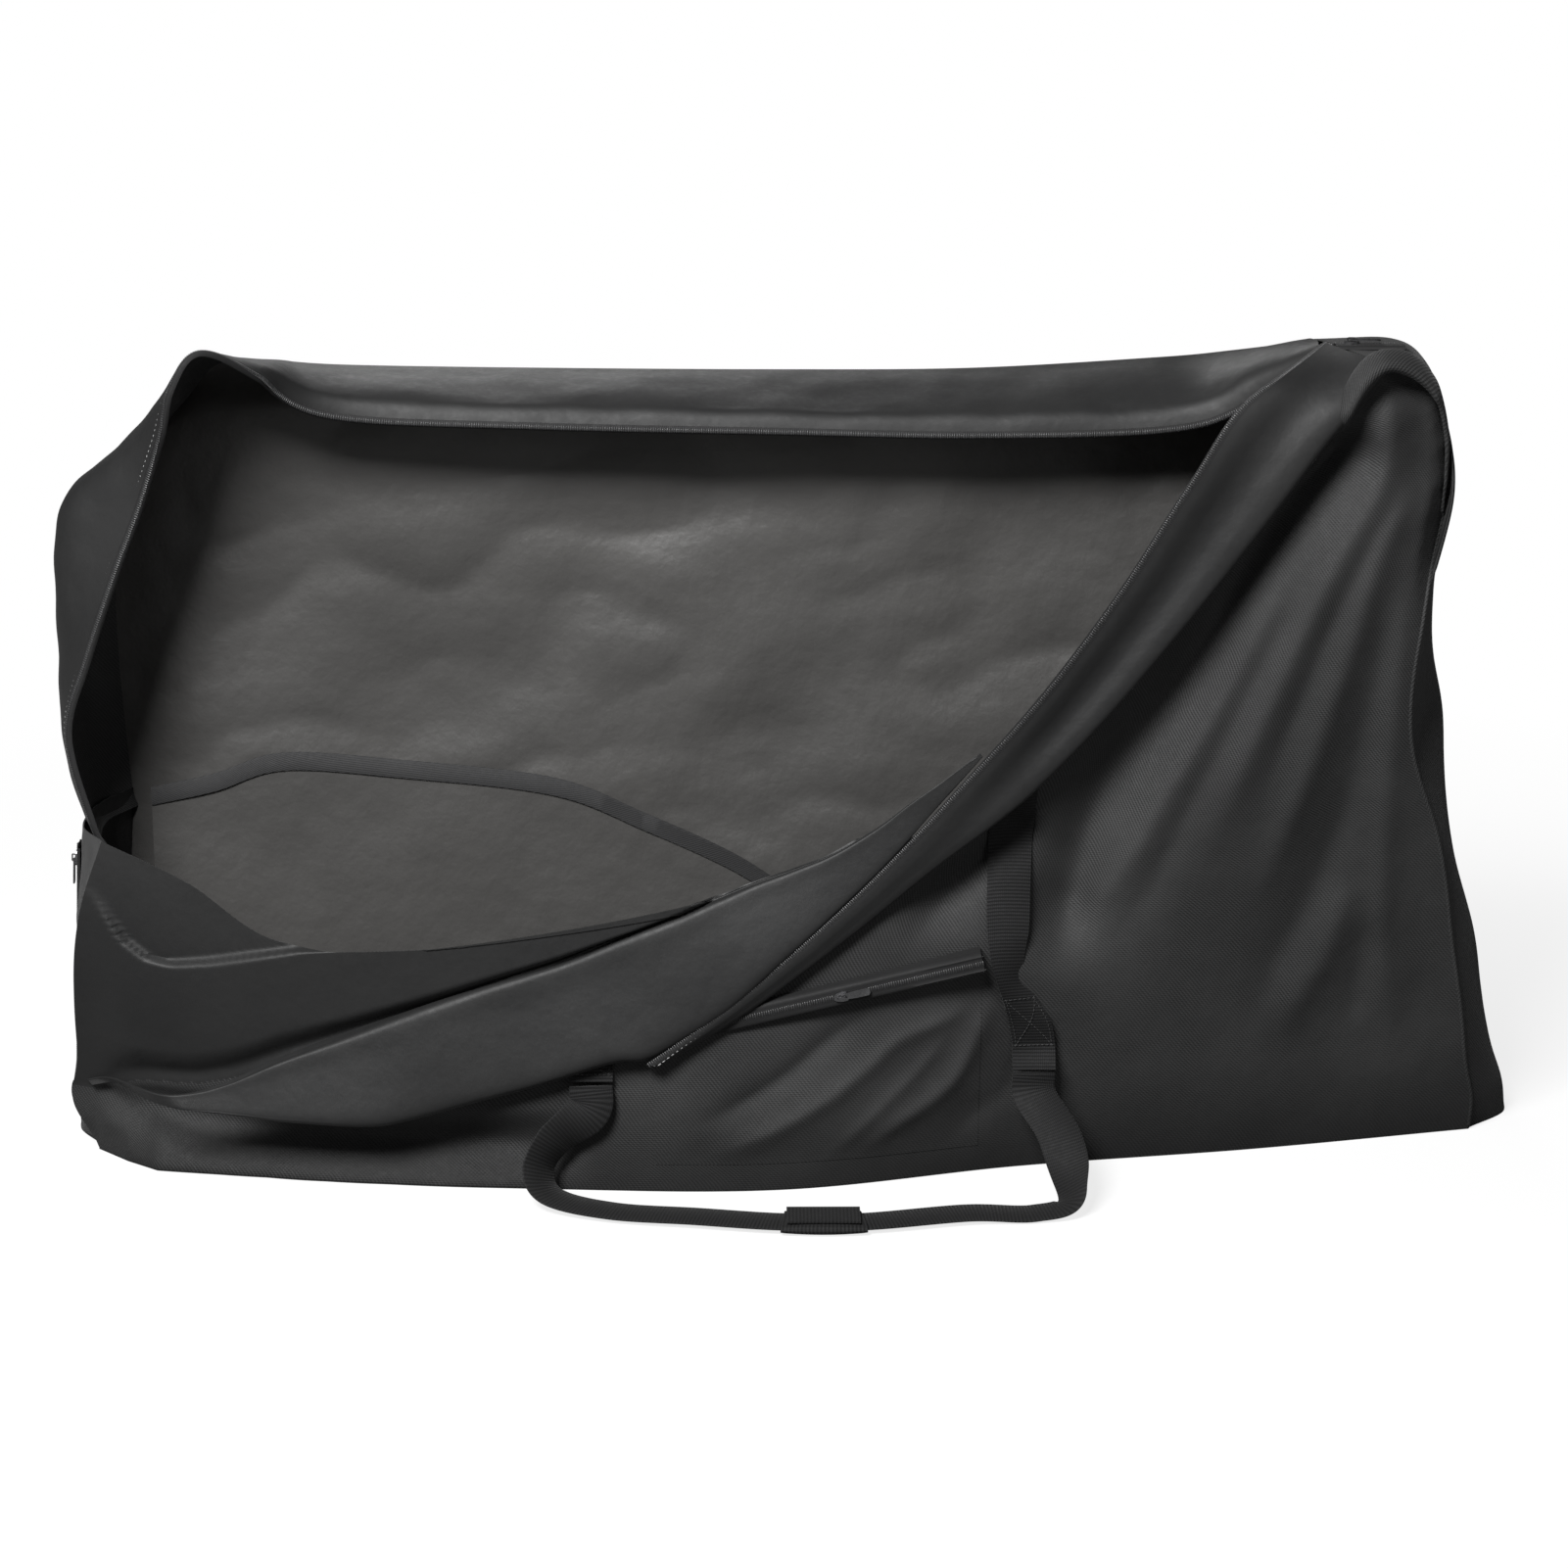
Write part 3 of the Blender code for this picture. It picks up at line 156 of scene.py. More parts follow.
# Going down the strip: how far its zip edge leans back, and how far it stands off the panel
STRIP_RECEDE = (0.33, 0.17, 0.09, 0.06, 0.03, 0.01, 0.0, 0.0, 0.0, 0.0)
STRIP_LIFT = (0.0, 0.0, 0.0, 0.0, 0.0, 0.004, 0.029, 0.052, 0.068, 0.070)
WHEEL_POCKET_TOP = np.array((
    (-460, 434), (-413, 453), (-363, 481), (-277, 471), (-167, 447), (-100, 398),
    (-40, 347), (0, 301),
)) / 1000
WHEEL_POCKET_STANDOFF = 0.026
SIZE = np.array((LENGTH, DEPTH, HEIGHT))
print("tables of", len(REAR_RING) + len(RIGHT_RING) + len(LEFT_RING), "gusset stations")

# %% [markdown]
# ## Smooth curves and surfaces
# Cloth has no corners between its stations, so every table is drawn through by a smooth curve. The same
# formula works on a list of points and on a list of whole rows, and that turns a coarse table into a surface.
# %% Curves and surfaces


def unit(vectors):
    return vectors / np.linalg.norm(vectors, axis=-1, keepdims=True)


def eased(t):
    """0 below 0, 1 above 1, and a soft rise between them."""
    t = np.clip(t, 0, 1)
    return t * t * (3 - 2 * t)


def from_ends(count):
    """How many steps each of a row's points lies from the nearer end."""
    return np.minimum(np.arange(count), np.arange(count)[::-1])


def smooth_between(a, b, c, d, t):
    """The smooth value at t between b and c. The values before and after them are a and d."""
    bend = (2 * a - 5 * b + 4 * c - d) * t**2 + (3 * b - a - 3 * c + d) * t**3
    return 0.5 * (2 * b + (c - a) * t + bend)


def curve_through(points, steps):
    """A smooth curve through points, or a smooth run of rows through rows."""
    p = np.asarray(points, float)
    padded = np.concatenate([[2 * p[0] - p[1]], p, [2 * p[-1] - p[-2]]])
    found = []
    for i in range(len(p) - 1):
        found += [smooth_between(*padded[i : i + 4], t) for t in np.arange(steps) / steps]
    found.append(p[-1])
    return np.array(found)


def surface_through(rows, row_steps, column_steps):
    grid = curve_through(rows, row_steps)
    return curve_through(grid.transpose(1, 0, 2), column_steps).transpose(1, 0, 2)


def evenly(points, count):
    """The same curve cut into this many even steps."""
    points = np.asarray(points, float)
    reach = np.concatenate([[0], np.cumsum(np.linalg.norm(np.diff(points, axis=0), axis=1))])
    goals = np.linspace(0, reach[-1], count + 1)
    return np.stack([np.interp(goals, reach, points[:, k]) for k in range(points.shape[1])], axis=1)


def patch(low, high, left, right):
    """The surface between four edges. low and high run to the right, left and right run upwards."""
    v = np.linspace(0, 1, len(left))[:, None, None]
    u = np.linspace(0, 1, len(low))[None, :, None]
    between = low[None] * (1 - v) + high[None] * v + left[:, None] * (1 - u) + right[:, None] * u
    corners = (low[0] * (1 - u) + low[-1] * u) * (1 - v) + (high[0] * (1 - u) + high[-1] * u) * v
    return between - corners


def table_rows(table, along):
    """Each row of a table of evenly spaced values, read at these places along it."""
    table = np.asarray(table, float)
    spots = np.clip(along, 0, table.shape[-1] - 1 - 1e-9)
    i = spots.astype(int)
    t = along - i
    before, after = 2 * table[..., :1] - table[..., 1:2], 2 * table[..., -1:] - table[..., -2:-1]
    padded = np.concatenate([before, table, after], axis=-1)
    return smooth_between(*(padded[..., i + k] for k in range(4)), t)


def hang_y(x, z):
    """Where the front panel's solid has its inner face."""
    x, z = np.broadcast_arrays(np.asarray(x, float), np.asarray(z, float))
    columns = len(FRONT_DEPTH[0]) - 1
    rows = table_rows(FRONT_DEPTH, (x.ravel() / LENGTH + 0.5) * columns)
    up = z.ravel() / HEIGHT * (len(FRONT_DEPTH) - 1)
    spots = np.clip(up, 0, len(FRONT_DEPTH) - 1 - 1e-9).astype(int)
    t = up - spots
    padded = np.concatenate([2 * rows[:1] - rows[1:2], rows, 2 * rows[-1:] - rows[-2:-1]])
    at = np.arange(len(up))
    return (DEPTH * smooth_between(*(padded[spots + k, at] for k in range(4)), t)).reshape(x.shape)


print("front panel's depth at its middle:", round(float(hang_y(0.0, 0.3)), 4))

# %% [markdown]
# ## Folds of the front panel
# The front hangs from the top right corner, so long folds fan out from that corner to the foot. Each fold is
# a line drawn on the panel with a width on either side and a height. Summing a few dozen of them gives cloth
# that pulls and sags where the real one does, and it costs far less than a simulation of the whole bag.
# %% Folds
# Each fold: its line as (x, z) in millimetres, its width to the left and to the right of the line, its height
# (negative for a valley), and how much of its length fades at the start and at the end
FRONT_FOLDS = (
    # The deep valley beside the strip
    (((558, 819), (533, 750), (495, 690), (460, 630), (430, 569), (387, 507), (344, 445),
      (316, 383), (302, 320), (287, 257), (272, 215)), 46, 60, -48, 0.08, 0.14),
    # Crests and grooves that fan out from the top right corner
    (((536, 695), (505, 630), (476, 569), (446, 507), (413, 445), (379, 383), (342, 320),
      (300, 257), (276, 225)), 24, 22, 8, 0.25, 0.25),
    (((541, 660), (498, 569), (468, 507), (439, 445), (410, 383), (378, 310), (329, 241)),
     18, 18, -5, 0.25, 0.25),
    (((618, 837), (612, 790), (613, 750), (583, 690), (551, 630), (524, 569), (499, 507),
      (474, 445), (452, 383), (435, 331)), 28, 24, 12, 0.06, 0.25),
    (((634, 750), (605, 690), (576, 630), (550, 569), (528, 507), (506, 445), (492, 393)),
     16, 16, -5, 0.2, 0.3),
    (((650, 740), (618, 690), (598, 630), (582, 569), (563, 507), (545, 445), (524, 383),
      (504, 320), (486, 267)), 24, 24, 12, 0.12, 0.3),
    (((626, 660), (617, 599), (610, 538), (599, 476), (590, 414), (574, 352), (551, 288),
      (521, 225), (497, 161), (472, 107)), 24, 30, -9, 0.2, 0.3),
    (((639, 680), (636, 599), (631, 518), (629, 435), (629, 373), (630, 299), (634, 225),
      (645, 161), (655, 85)), 22, 16, 8, 0.2, 0.2),
    (((597, 320), (590, 288), (571, 225), (552, 193), (538, 161), (529, 118)),
     22, 24, 9, 0.25, 0.35),
    (((613, 267), (612, 225), (607, 182), (603, 128)), 18, 18, -5, 0.3, 0.3),
    # The hollow between the turned out corner and the webbing, and the one below the pocket's zip
    (((262, 404), (201, 345), (150, 292), (110, 258)), 30, 50, -32, 0.15, 0.5),
    (((100, 200), (45, 160), (-1, 122), (-57, 88), (-100, 70)), 20, 14, -7, 0.3, 0.3),
    # The folds that run from the webbing down across the pocket
    (((203, 214), (178, 187), (121, 161), (85, 128), (44, 96), (-16, 63), (-88, 33)),
     16, 15, 7, 0.2, 0.25),
    (((178, 174), (143, 128), (113, 96), (79, 63), (35, 25)), 12, 12, 4, 0.25, 0.3),
    (((221, 225), (208, 182), (188, 128), (163, 96), (114, 63), (66, 25)),
     14, 16, 8, 0.25, 0.3),
    (((285, 182), (280, 161), (255, 128), (235, 96), (194, 63), (154, 31)),
     22, 30, -6, 0.25, 0.3),
    # A slack place in the turned out part
    (((-619, 241), (-507, 262), (-405, 283), (-304, 304)), 40, 40, 3, 0.3, 0.3),
)
# The crease under which the turned out corner hangs, and the open fold above it
RIDGE = np.array((
    (-744, 84), (-727, 90), (-705, 97), (-674, 103), (-621, 106), (-579, 118),
    (-518, 146), (-419, 183), (-313, 222),
    (-232, 250), (-170, 275), (-109, 298), (-69, 316), (-30, 332), (10, 346), (50, 362),
    (95, 389), (130, 416), (160, 437), (200, 468),
)) / 1000
OPEN_FOLD = np.array((
    (-730, 330), (-705, 290), (-688, 262), (-665, 243), (-640, 238), (-600, 243), (-550, 253),
    (-502, 262), (-396, 268), (-315, 278), (-244, 289), (-130, 304), (-69, 318), (100, 400),
)) / 1000
print(len(FRONT_FOLDS), "folds, the deepest", min(fold[3] for fold in FRONT_FOLDS), "mm")

# %% [markdown]
# ## The front's own surface
# A crest of cloth is rounded on its line and fades softly at its sides, and so does each fold here. The turned
# out part adds a long roll above its crease, and the upper right edge turns away round the side of the bag.
# Every piece that lies on the front asks this surface where it is, so nothing floats or sinks in.
# %% Pushing the front by its folds
CURL_SLOPE = 1.3


def along_line(x, z, path):
    """How far each place lies from a line, how far along it, and on which side."""
    a, step = path[:-1], np.diff(path, axis=0)
    from_a = np.stack(np.broadcast_arrays(x, z), axis=-1)[..., None, :] - a
    t = np.clip((from_a * step).sum(-1) / (step**2).sum(-1), 0, 1)
    distance = np.linalg.norm(from_a - t[..., None] * step, axis=-1)
    nearest = distance.argmin(-1)
    pick = nearest[..., None]
    side = np.take_along_axis(step[:, 0] * from_a[..., 1] - step[:, 1] * from_a[..., 0], pick, -1)[..., 0]
    along = (nearest + np.take_along_axis(t, pick, -1)[..., 0]) / len(a)
    return np.take_along_axis(distance, pick, -1)[..., 0], along, side


FOLD_PATHS = [evenly(curve_through(np.array(fold[0]) / 1000, 6), 40) for fold in FRONT_FOLDS]


def fold_height(x, z):
    """How far the folds push the cloth forward at each place. A crest is narrow and its sides are soft."""
    total = np.zeros(np.broadcast(x, z).shape)
    for path, (_, left_width, right_width, height, start_fade, end_fade) in zip(FOLD_PATHS, FRONT_FOLDS):
        gap, along, side = along_line(x, z, path)
        width = np.where(side > 0, left_width, right_width) / 1000
        fade = eased(along / start_fade) * eased((1 - along) / end_fade)
        total += height / 1000 * fade * np.exp(-1.4 * (np.sqrt((gap / width) ** 2 + 0.15) - 0.387))
    return total


def turned_out_roll(x, z):
    """The open part of the front bulges between its crease and its fold, and tucks in just above the crease."""
    x, z = np.broadcast_arrays(np.asarray(x, float), np.asarray(z, float))
    low = np.interp(x, RIDGE[:, 0], RIDGE[:, 1])
    high = np.interp(x, OPEN_FOLD[:, 0], OPEN_FOLD[:, 1])
    t = np.clip((z - low) / np.maximum(high - low, 0.02), -0.5, 1.2)
    roll = 0.011 * eased(t / 0.22) * (1 - eased((t - 0.95) / 0.05)) - 0.003 * np.exp(-((t / 0.06) ** 2))
    return roll * eased((0.02 - x) / 0.16) * eased((x + 0.735) / 0.05)


def curled_edge(x, z):
    """Near its upper right edge the front turns away round the side of the bag."""
    z = np.asarray(z)
    edge = np.interp(z, (0.56, 0.650, 0.691, 0.732, 0.772, 0.814), (0.652, 0.648, 0.652, 0.662, 0.662, 0.660))
    return CURL_SLOPE * np.maximum(x - edge, 0) * eased((z - 0.56) / 0.10) * eased((0.86 - z) / 0.04)


def front_face(x, z):
    """Where the outer face of the front cloth hangs, folds included."""
    return hang_y(x, z) - SOLID_CLOTH - fold_height(x, z) - turned_out_roll(x, z) + curled_edge(x, z)


print("the front's outer face at its middle:", round(float(front_face(0.0, 0.3)), 4))

# %% [markdown]
# ## Making cloth
# A sheet of cloth is two copies of one grid of points, a hair apart, joined round the rim. It carries a UV
# map measured in metres of cloth, so that a weave keeps its size on every fold, and the outer and the inner
# side may have different finishes, as coated cloth has.
# %% Cloth meshes


def normals_of(grid):
    across = np.gradient(grid, axis=1)
    up = np.gradient(grid, axis=0)
    found = np.cross(across, up)
    return found / np.maximum(np.linalg.norm(found, axis=-1, keepdims=True), 1e-12)


def cloth_lengths(grid):
    """How far along the cloth each point lies, both ways, in metres."""
    across = np.linalg.norm(np.diff(grid, axis=1), axis=-1)
    up = np.linalg.norm(np.diff(grid, axis=0), axis=-1)
    u = np.concatenate([np.zeros((len(grid), 1)), np.cumsum(across, axis=1)], axis=1)
    v = np.concatenate([np.zeros((1, grid.shape[1])), np.cumsum(up, axis=0)], axis=0)
    return u - u.mean(axis=1, keepdims=True), v


def put_in_scene(name, points, faces, finishes, face_finish, uv):
    """A smooth mesh with its cloth map. face_finish is each face's finish, or None for the first."""
    mesh = bpy.data.meshes.new(name)
    mesh.from_pydata([tuple(p) for p in points], [], [tuple(int(i) for i in f) for f in faces])
    layer = mesh.uv_layers.new(name="cloth")
    corners = np.empty(len(mesh.loops), np.int32)
    mesh.loops.foreach_get("vertex_index", corners)
    layer.data.foreach_set("uv", np.asarray(uv, np.float32)[corners].ravel())
    for finish in finishes:
        mesh.materials.append(finish)
    if face_finish is not None:
        mesh.polygons.foreach_set("material_index", np.asarray(face_finish, np.int32))
    mesh.shade_smooth()
    mesh.set_sharp_from_angle(angle=math.radians(55))
    mesh.update()
    return linked(name, mesh)


def shell_volume(points, faces):
    p = points - points.mean(axis=0)
    a, b, c, d = (p[faces[:, k]] for k in range(4))
    return float((a * (np.cross(b, c) + np.cross(c, d))).sum())


def cloth(name, outer, finishes, thickness=CLOTH, inner=None, inner_region=None, turned=None):
    """A closed sheet of cloth from its outer face. inner_region marks where that shows the inner finish, and
    turned tells which way the grid is reversed first, so that the other finish comes inside."""
    if turned is not None:
        outer = np.flip(outer, turned)
    if inner is None:
        inner = outer - normals_of(outer) * thickness
    rows, columns = outer.shape[:2]
    count = rows * columns
    index = np.arange(count).reshape(rows, columns)
    front = np.stack([index[:-1, :-1], index[:-1, 1:], index[1:, 1:], index[1:, :-1]], -1).reshape(-1, 4)
    border = np.concatenate([index[0, :-1], index[:-1, -1], index[-1, :0:-1], index[:0:-1, 0]])
    ahead = np.roll(border, -1)
    rim = np.stack([ahead, border, border + count, ahead + count], -1)
    faces = np.concatenate([front, front[:, ::-1] + count, rim])
    points = np.concatenate([outer.reshape(-1, 3), inner.reshape(-1, 3)])
    if shell_volume(points, faces) < 0:
        faces = faces[:, ::-1]
    kind = np.concatenate([np.zeros(len(front)), np.ones(len(front)), np.zeros(len(rim))])
    if inner_region is not None:
        kind[: len(front)] = inner_region[:-1, :-1].ravel()
    u, v = cloth_lengths(outer)
    uv = np.stack([u, v], -1).reshape(-1, 2)
    return put_in_scene(name, points, faces, finishes, kind, np.concatenate([uv, uv]))


def ripple(points, size, seed):
    """Smooth random values between -1 and 1, with bumps of this size in metres."""
    flat = points.reshape(-1, 3) / size + seed * 7.31
    return np.array([noise.noise(Vector(p)) for p in flat]).reshape(points.shape[:-1])


def dressed(obj, body, slot, *nodes):
    """Tells the frame which body carries a piece and which solids it stands for. slot is not used."""
    if body is not None:
        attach(obj, body)
    if nodes:
        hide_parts(*nodes)


def sewn_sheet(name, grid, finishes, held, rests_on, *nodes, body="bag", slot="outer_cloth", **choices):
    """Makes a cloth piece from its grid, hangs it on its body and tells the frame what was cut for it."""
    obj = cloth(name, grid, finishes, **choices)
    dressed(obj, body, slot, *nodes)
    return obj


print("ready to make cloth", CLOTH * 1000, "mm thick")

# %% [markdown]
# ## Helpers for node graphs
# Every finish is a small graph of nodes, and so is the group that lays the stitches. One function adds a node
# with its settings and its inputs. The others are the nodes that come back all the time.
# %% Node helpers
def set_inputs(tree, node, inputs):
    """Gives each named input a value or links it to the output of another node."""
    for label, value in inputs.items():
        if isinstance(value, bpy.types.NodeSocket):
            tree.links.new(value, node.inputs[label])
        else:
            node.inputs[label].default_value = value


def add_node(tree, kind, inputs=None, **settings):
    node = tree.nodes.new(kind)
    for key, value in settings.items():
        setattr(node, key, value)
    set_inputs(tree, node, inputs or {})
    return node


def math_node(tree, operation, *values):
    return add_node(tree, "ShaderNodeMath", dict(enumerate(values)), operation=operation).outputs[0]


def times(tree, first, second):
    return math_node(tree, "MULTIPLY", first, second)


def noise_node(tree, vector, scale, detail=3.0, roughness=0.5):
    inputs = {"Vector": vector, "Scale": scale, "Detail": detail, "Roughness": roughness}
    return add_node(tree, "ShaderNodeTexNoise", inputs).outputs["Fac"]


def spread(tree, value, low, high, new_low=0.0, new_high=1.0):
    inputs = {"Value": value, "From Min": low, "From Max": high, "To Min": new_low, "To Max": new_high}
    return add_node(tree, "ShaderNodeMapRange", inputs).outputs["Result"]


def new_group(name, inputs, outputs):
    """An empty shader group. An input is (name, kind, value or None), and every output is a number."""
    tree = bpy.data.node_groups.new(name, "ShaderNodeTree")
    for label, kind, value in inputs:
        socket = tree.interface.new_socket(label, in_out="INPUT", socket_type=kind)
        if value is not None:
            socket.default_value = value
    for label in outputs:
        tree.interface.new_socket(label, in_out="OUTPUT", socket_type="NodeSocketFloat")
    return tree, tree.nodes.new("NodeGroupInput"), tree.nodes.new("NodeGroupOutput")


print("node helpers ready")

# %% [markdown]
# ## The weave
# Seen close, the outside is a twill: fine diagonal ribs, crossed by finer threads. An image of cloth could be
# tiled here, but two sine waves on the cloth's own map, made uneven by a noise, stay sharp at any distance and
# follow every fold.
# %% The weave: diagonal ribs crossed by fine threads
CROSS_THREADS_PER_RIB = 1.9
RIB_HEIGHT, THREAD_HEIGHT = 0.5, 0.22
weave, weave_in, weave_out = new_group(
    "twill_weave",
    (("Cloth", "NodeSocketVector", None), ("Ribs per metre", "NodeSocketFloat", 520.0),
     ("Slant", "NodeSocketFloat", 0.7)),
    ("Height", "Tint"),
)
split = add_node(weave, "ShaderNodeSeparateXYZ", {0: weave_in.outputs["Cloth"]})
slanted = times(weave, split.outputs["Y"], weave_in.outputs["Slant"])
diagonal = math_node(weave, "ADD", split.outputs["X"], slanted)
turns = times(weave, weave_in.outputs["Ribs per metre"], 2 * math.pi)
ribs = math_node(weave, "SINE", times(weave, diagonal, turns))
cross_turns = times(weave, turns, CROSS_THREADS_PER_RIB)
threads = math_node(weave, "SINE", times(weave, split.outputs["Y"], cross_turns))
height = math_node(weave, "ADD", times(weave, ribs, RIB_HEIGHT), times(weave, threads, THREAD_HEIGHT))
uneven = spread(weave, noise_node(weave, weave_in.outputs["Cloth"], 260.0, 2.0), 0.3, 0.7, 0.5, 1.0)
set_inputs(weave, weave_out, {"Height": times(weave, height, uneven), "Tint": spread(weave, height, -0.7, 0.7)})
print("group", weave.name)

# %% [markdown]
# ## Handling
# A bag that is packed and carried gets soft creases, dusty patches and rubbed places. They are the same kind of
# marks on cloth, webbing and metal, so they are one group with its own scale: broad and fine noise read at the
# place on the bag.
# %% Handling: soft creases, dusty patches and rubbed places
handling, handling_in, handling_out = new_group(
    "handled_cloth",
    (("Place", "NodeSocketVector", None), ("Crease size", "NodeSocketFloat", 9.0)),
    ("Crease", "Dust", "Rub"),
)
scaling = {0: handling_in.outputs["Place"], "Scale": handling_in.outputs["Crease size"]}
scaled = add_node(handling, "ShaderNodeVectorMath", scaling, operation="SCALE").outputs[0]
broad = noise_node(handling, scaled, 1.0, 2.0)
fine = noise_node(handling, scaled, 4.6, 3.0, 0.55)
set_inputs(handling, handling_out, {
    "Crease": math_node(handling, "ADD", times(handling, broad, 0.75), times(handling, fine, 0.2)),
    "Dust": spread(handling, noise_node(handling, scaled, 0.55, 4.0, 0.6), 0.42, 0.72),
    "Rub": spread(handling, noise_node(handling, scaled, 13.0, 4.0, 0.62), 0.45, 0.75),
})
print("group", handling.name)

# %% [markdown]
# ## The finishes themselves
# The outside is a tight black twill with a soft sheen, the inside has a smooth coating that catches broad
# lights, and the straps are coarse webbing. What changes over the surface comes from the two groups and from a
# painted shade that darkens the twill towards the floor, and what is the same everywhere is typed straight into
# the shader's own sockets.
# %% A shader for cloth
# Painted shade: the cloth is drawn darker towards the floor, up to this height and down to this share of its
# dark colour
FLOOR_SHADE_HEIGHT = 0.11
FLOOR_SHADE_TONE = 0.4
DUST_SHARE = 0.45
RUBBED_SMOOTHER = 0.08


def new_material(name):
    material = bpy.data.materials.new(name)
    material.use_nodes = True
    return material, material.node_tree


def placed_group(tree, group, values):
    return add_node(tree, "ShaderNodeGroup", values, node_tree=group)


def colour_mix(tree, amount, first, second):
    """Mixes two colours. Either may be three numbers or the output of another node."""
    ends = [c if isinstance(c, bpy.types.NodeSocket) else (*c, 1) for c in (first, second)]
    inputs = {"Factor": amount, "A": ends[0], "B": ends[1]}
    return add_node(tree, "ShaderNodeMix", inputs, data_type="RGBA").outputs["Result"]


def bump(tree, height, strength, distance, before=None):
    inputs = {"Strength": strength, "Distance": distance, "Height": height}
    if before is not None:
        inputs["Normal"] = before
    return add_node(tree, "ShaderNodeBump", inputs).outputs["Normal"]


def woven_finish(name, dark, light, dusty, roughness, ribs_per_metre, slant, weave_depth, crease_depth, sheen,
                 specular, across=False, plain=False, floor_shade=0.0):
    """A cloth finish. across lays the ribs across a strap, plain reads the place and not the cloth's own map,
    and the last choice is a painted shade that darkens the cloth near the floor."""
    material, tree = new_material(name)
    where = add_node(tree, "ShaderNodeTexCoord")
    laid = where.outputs["Object" if plain else "UV"]
    if across:
        parts = add_node(tree, "ShaderNodeSeparateXYZ", {0: laid})
        swapped = {"X": parts.outputs["Y"], "Y": parts.outputs["X"]}
        laid = add_node(tree, "ShaderNodeCombineXYZ", swapped).outputs[0]
    threads = placed_group(tree, weave, {"Cloth": laid, "Ribs per metre": ribs_per_metre, "Slant": slant})
    wear = placed_group(tree, handling, {"Place": where.outputs["Object"]})
    woven = colour_mix(tree, threads.outputs["Tint"], dark, light)
    dusted = colour_mix(tree, times(tree, wear.outputs["Dust"], DUST_SHARE), woven, dusty)
    # Painted shade near the floor: darkest at the floor, gone at the height above
    height = add_node(tree, "ShaderNodeSeparateXYZ", {0: where.outputs["Object"]}).outputs["Z"]
    floor_shaded = spread(tree, height, 0.0, FLOOR_SHADE_HEIGHT, floor_shade, 0.0)
    creased = bump(tree, wear.outputs["Crease"], 0.6, crease_depth)
    set_inputs(tree, tree.nodes["Principled BSDF"], {
        "Base Color": colour_mix(tree, floor_shaded, dusted, [FLOOR_SHADE_TONE * c for c in dark]),
        "Roughness": spread(tree, wear.outputs["Rub"], 0.0, 1.0, roughness, roughness - RUBBED_SMOOTHER),
        "Normal": bump(tree, threads.outputs["Height"], 0.8, weave_depth, creased),
        "Specular IOR Level": specular,
        "Sheen Weight": sheen,
        "Sheen Roughness": 0.4,
    })
    return material


print("a shader for cloth is ready")

# %% [markdown]
# ## Choosing the finishes
# The blacks were chosen by comparing the shade of each part in the picture with the render. The coated inside is
# darker than the twill from the front and brighter at a flat angle, and only the thread is really light. The
# slanted strip's twill is a darker copy whose colour paints the shade lying on the strip, and the outer twill is
# painted darker near the floor.
# %% Finishes of cloth, tape and thread
# Dark, light and dusty colour, roughness, ribs per metre and their slant, depth of the weave and of the creases
# in metres, sheen, specular level
# The outer twill's last value paints shade on it near the floor
TWILL = woven_finish(
    "outer_twill", (0.006, 0.0061, 0.0062), (0.034, 0.0342, 0.0344), (0.042, 0.042, 0.042),
    0.70, 240.0, 0.8, 0.0005, 0.006, 0.06, 0.3, floor_shade=0.75)
# A darker copy of the twill for the slanted strip: its darker colour is painted shade, and its shallower weave
# is the strip's smoother cloth
SHADED_SMOOTH_TWILL = woven_finish(
    "shaded_smooth_twill", (0.005, 0.0051, 0.0052), (0.016, 0.0162, 0.0164), (0.024, 0.024, 0.024),
    0.65, 240.0, 0.8, 0.0003, 0.006, 0.04, 0.2)
COATING = woven_finish(
    "coated_inside", (0.0105, 0.0106, 0.0107), (0.0135, 0.0136, 0.0138), (0.019, 0.0189, 0.0186),
    0.55, 900.0, 1.0, 0.00004, 0.006, 0.02, 0.3)
LINING = woven_finish(
    "inside_lining", (0.048, 0.0468, 0.0452), (0.058, 0.0563, 0.0543), (0.070, 0.0675, 0.065),
    0.50, 900.0, 1.0, 0.00004, 0.012, 0.05, 0.4)
WEBBING = woven_finish(
    "ribbed_webbing", (0.0012, 0.0012, 0.0013), (0.013, 0.013, 0.0134), (0.009, 0.009, 0.0093),
    0.75, 270.0, 0.0, 0.0006, 0.001, 0.05, 0.25, across=True)
TAPE = woven_finish(
    "zip_tape", (0.004, 0.004, 0.0042), (0.012, 0.012, 0.0123), (0.018, 0.018, 0.0183),
    0.7, 500.0, 1.0, 0.0002, 0.001, 0.05, 0.3)
BINDING = woven_finish(
    "bound_edge", (0.010, 0.010, 0.0103), (0.030, 0.030, 0.031), (0.036, 0.036, 0.0365),
    0.7, 500.0, 0.2, 0.0003, 0.001, 0.1, 0.3, across=True)
COIL = woven_finish(
    "zip_coil", (0.020, 0.020, 0.0205), (0.050, 0.050, 0.051), (0.060, 0.060, 0.061),
    0.35, 300.0, 0.0, 0.00005, 0.0005, 0.0, 0.5, plain=True)
THREAD = woven_finish(
    "light_thread", (0.22, 0.22, 0.22), (0.45, 0.45, 0.45), (0.38, 0.38, 0.38),
    0.6, 1500.0, 1.0, 0.0001, 0.0005, 0.2, 0.3, plain=True)
DARK_THREAD = woven_finish(
    "dark_thread", (0.018, 0.018, 0.018), (0.045, 0.045, 0.046), (0.05, 0.05, 0.05),
    0.6, 1500.0, 1.0, 0.0001, 0.0005, 0.1, 0.3, plain=True)
ALL_CLOTH = (TWILL, SHADED_SMOOTH_TWILL, COATING, LINING, WEBBING, TAPE, BINDING, COIL, THREAD, DARK_THREAD)
print("finishes:", [finish.name for finish in ALL_CLOTH])

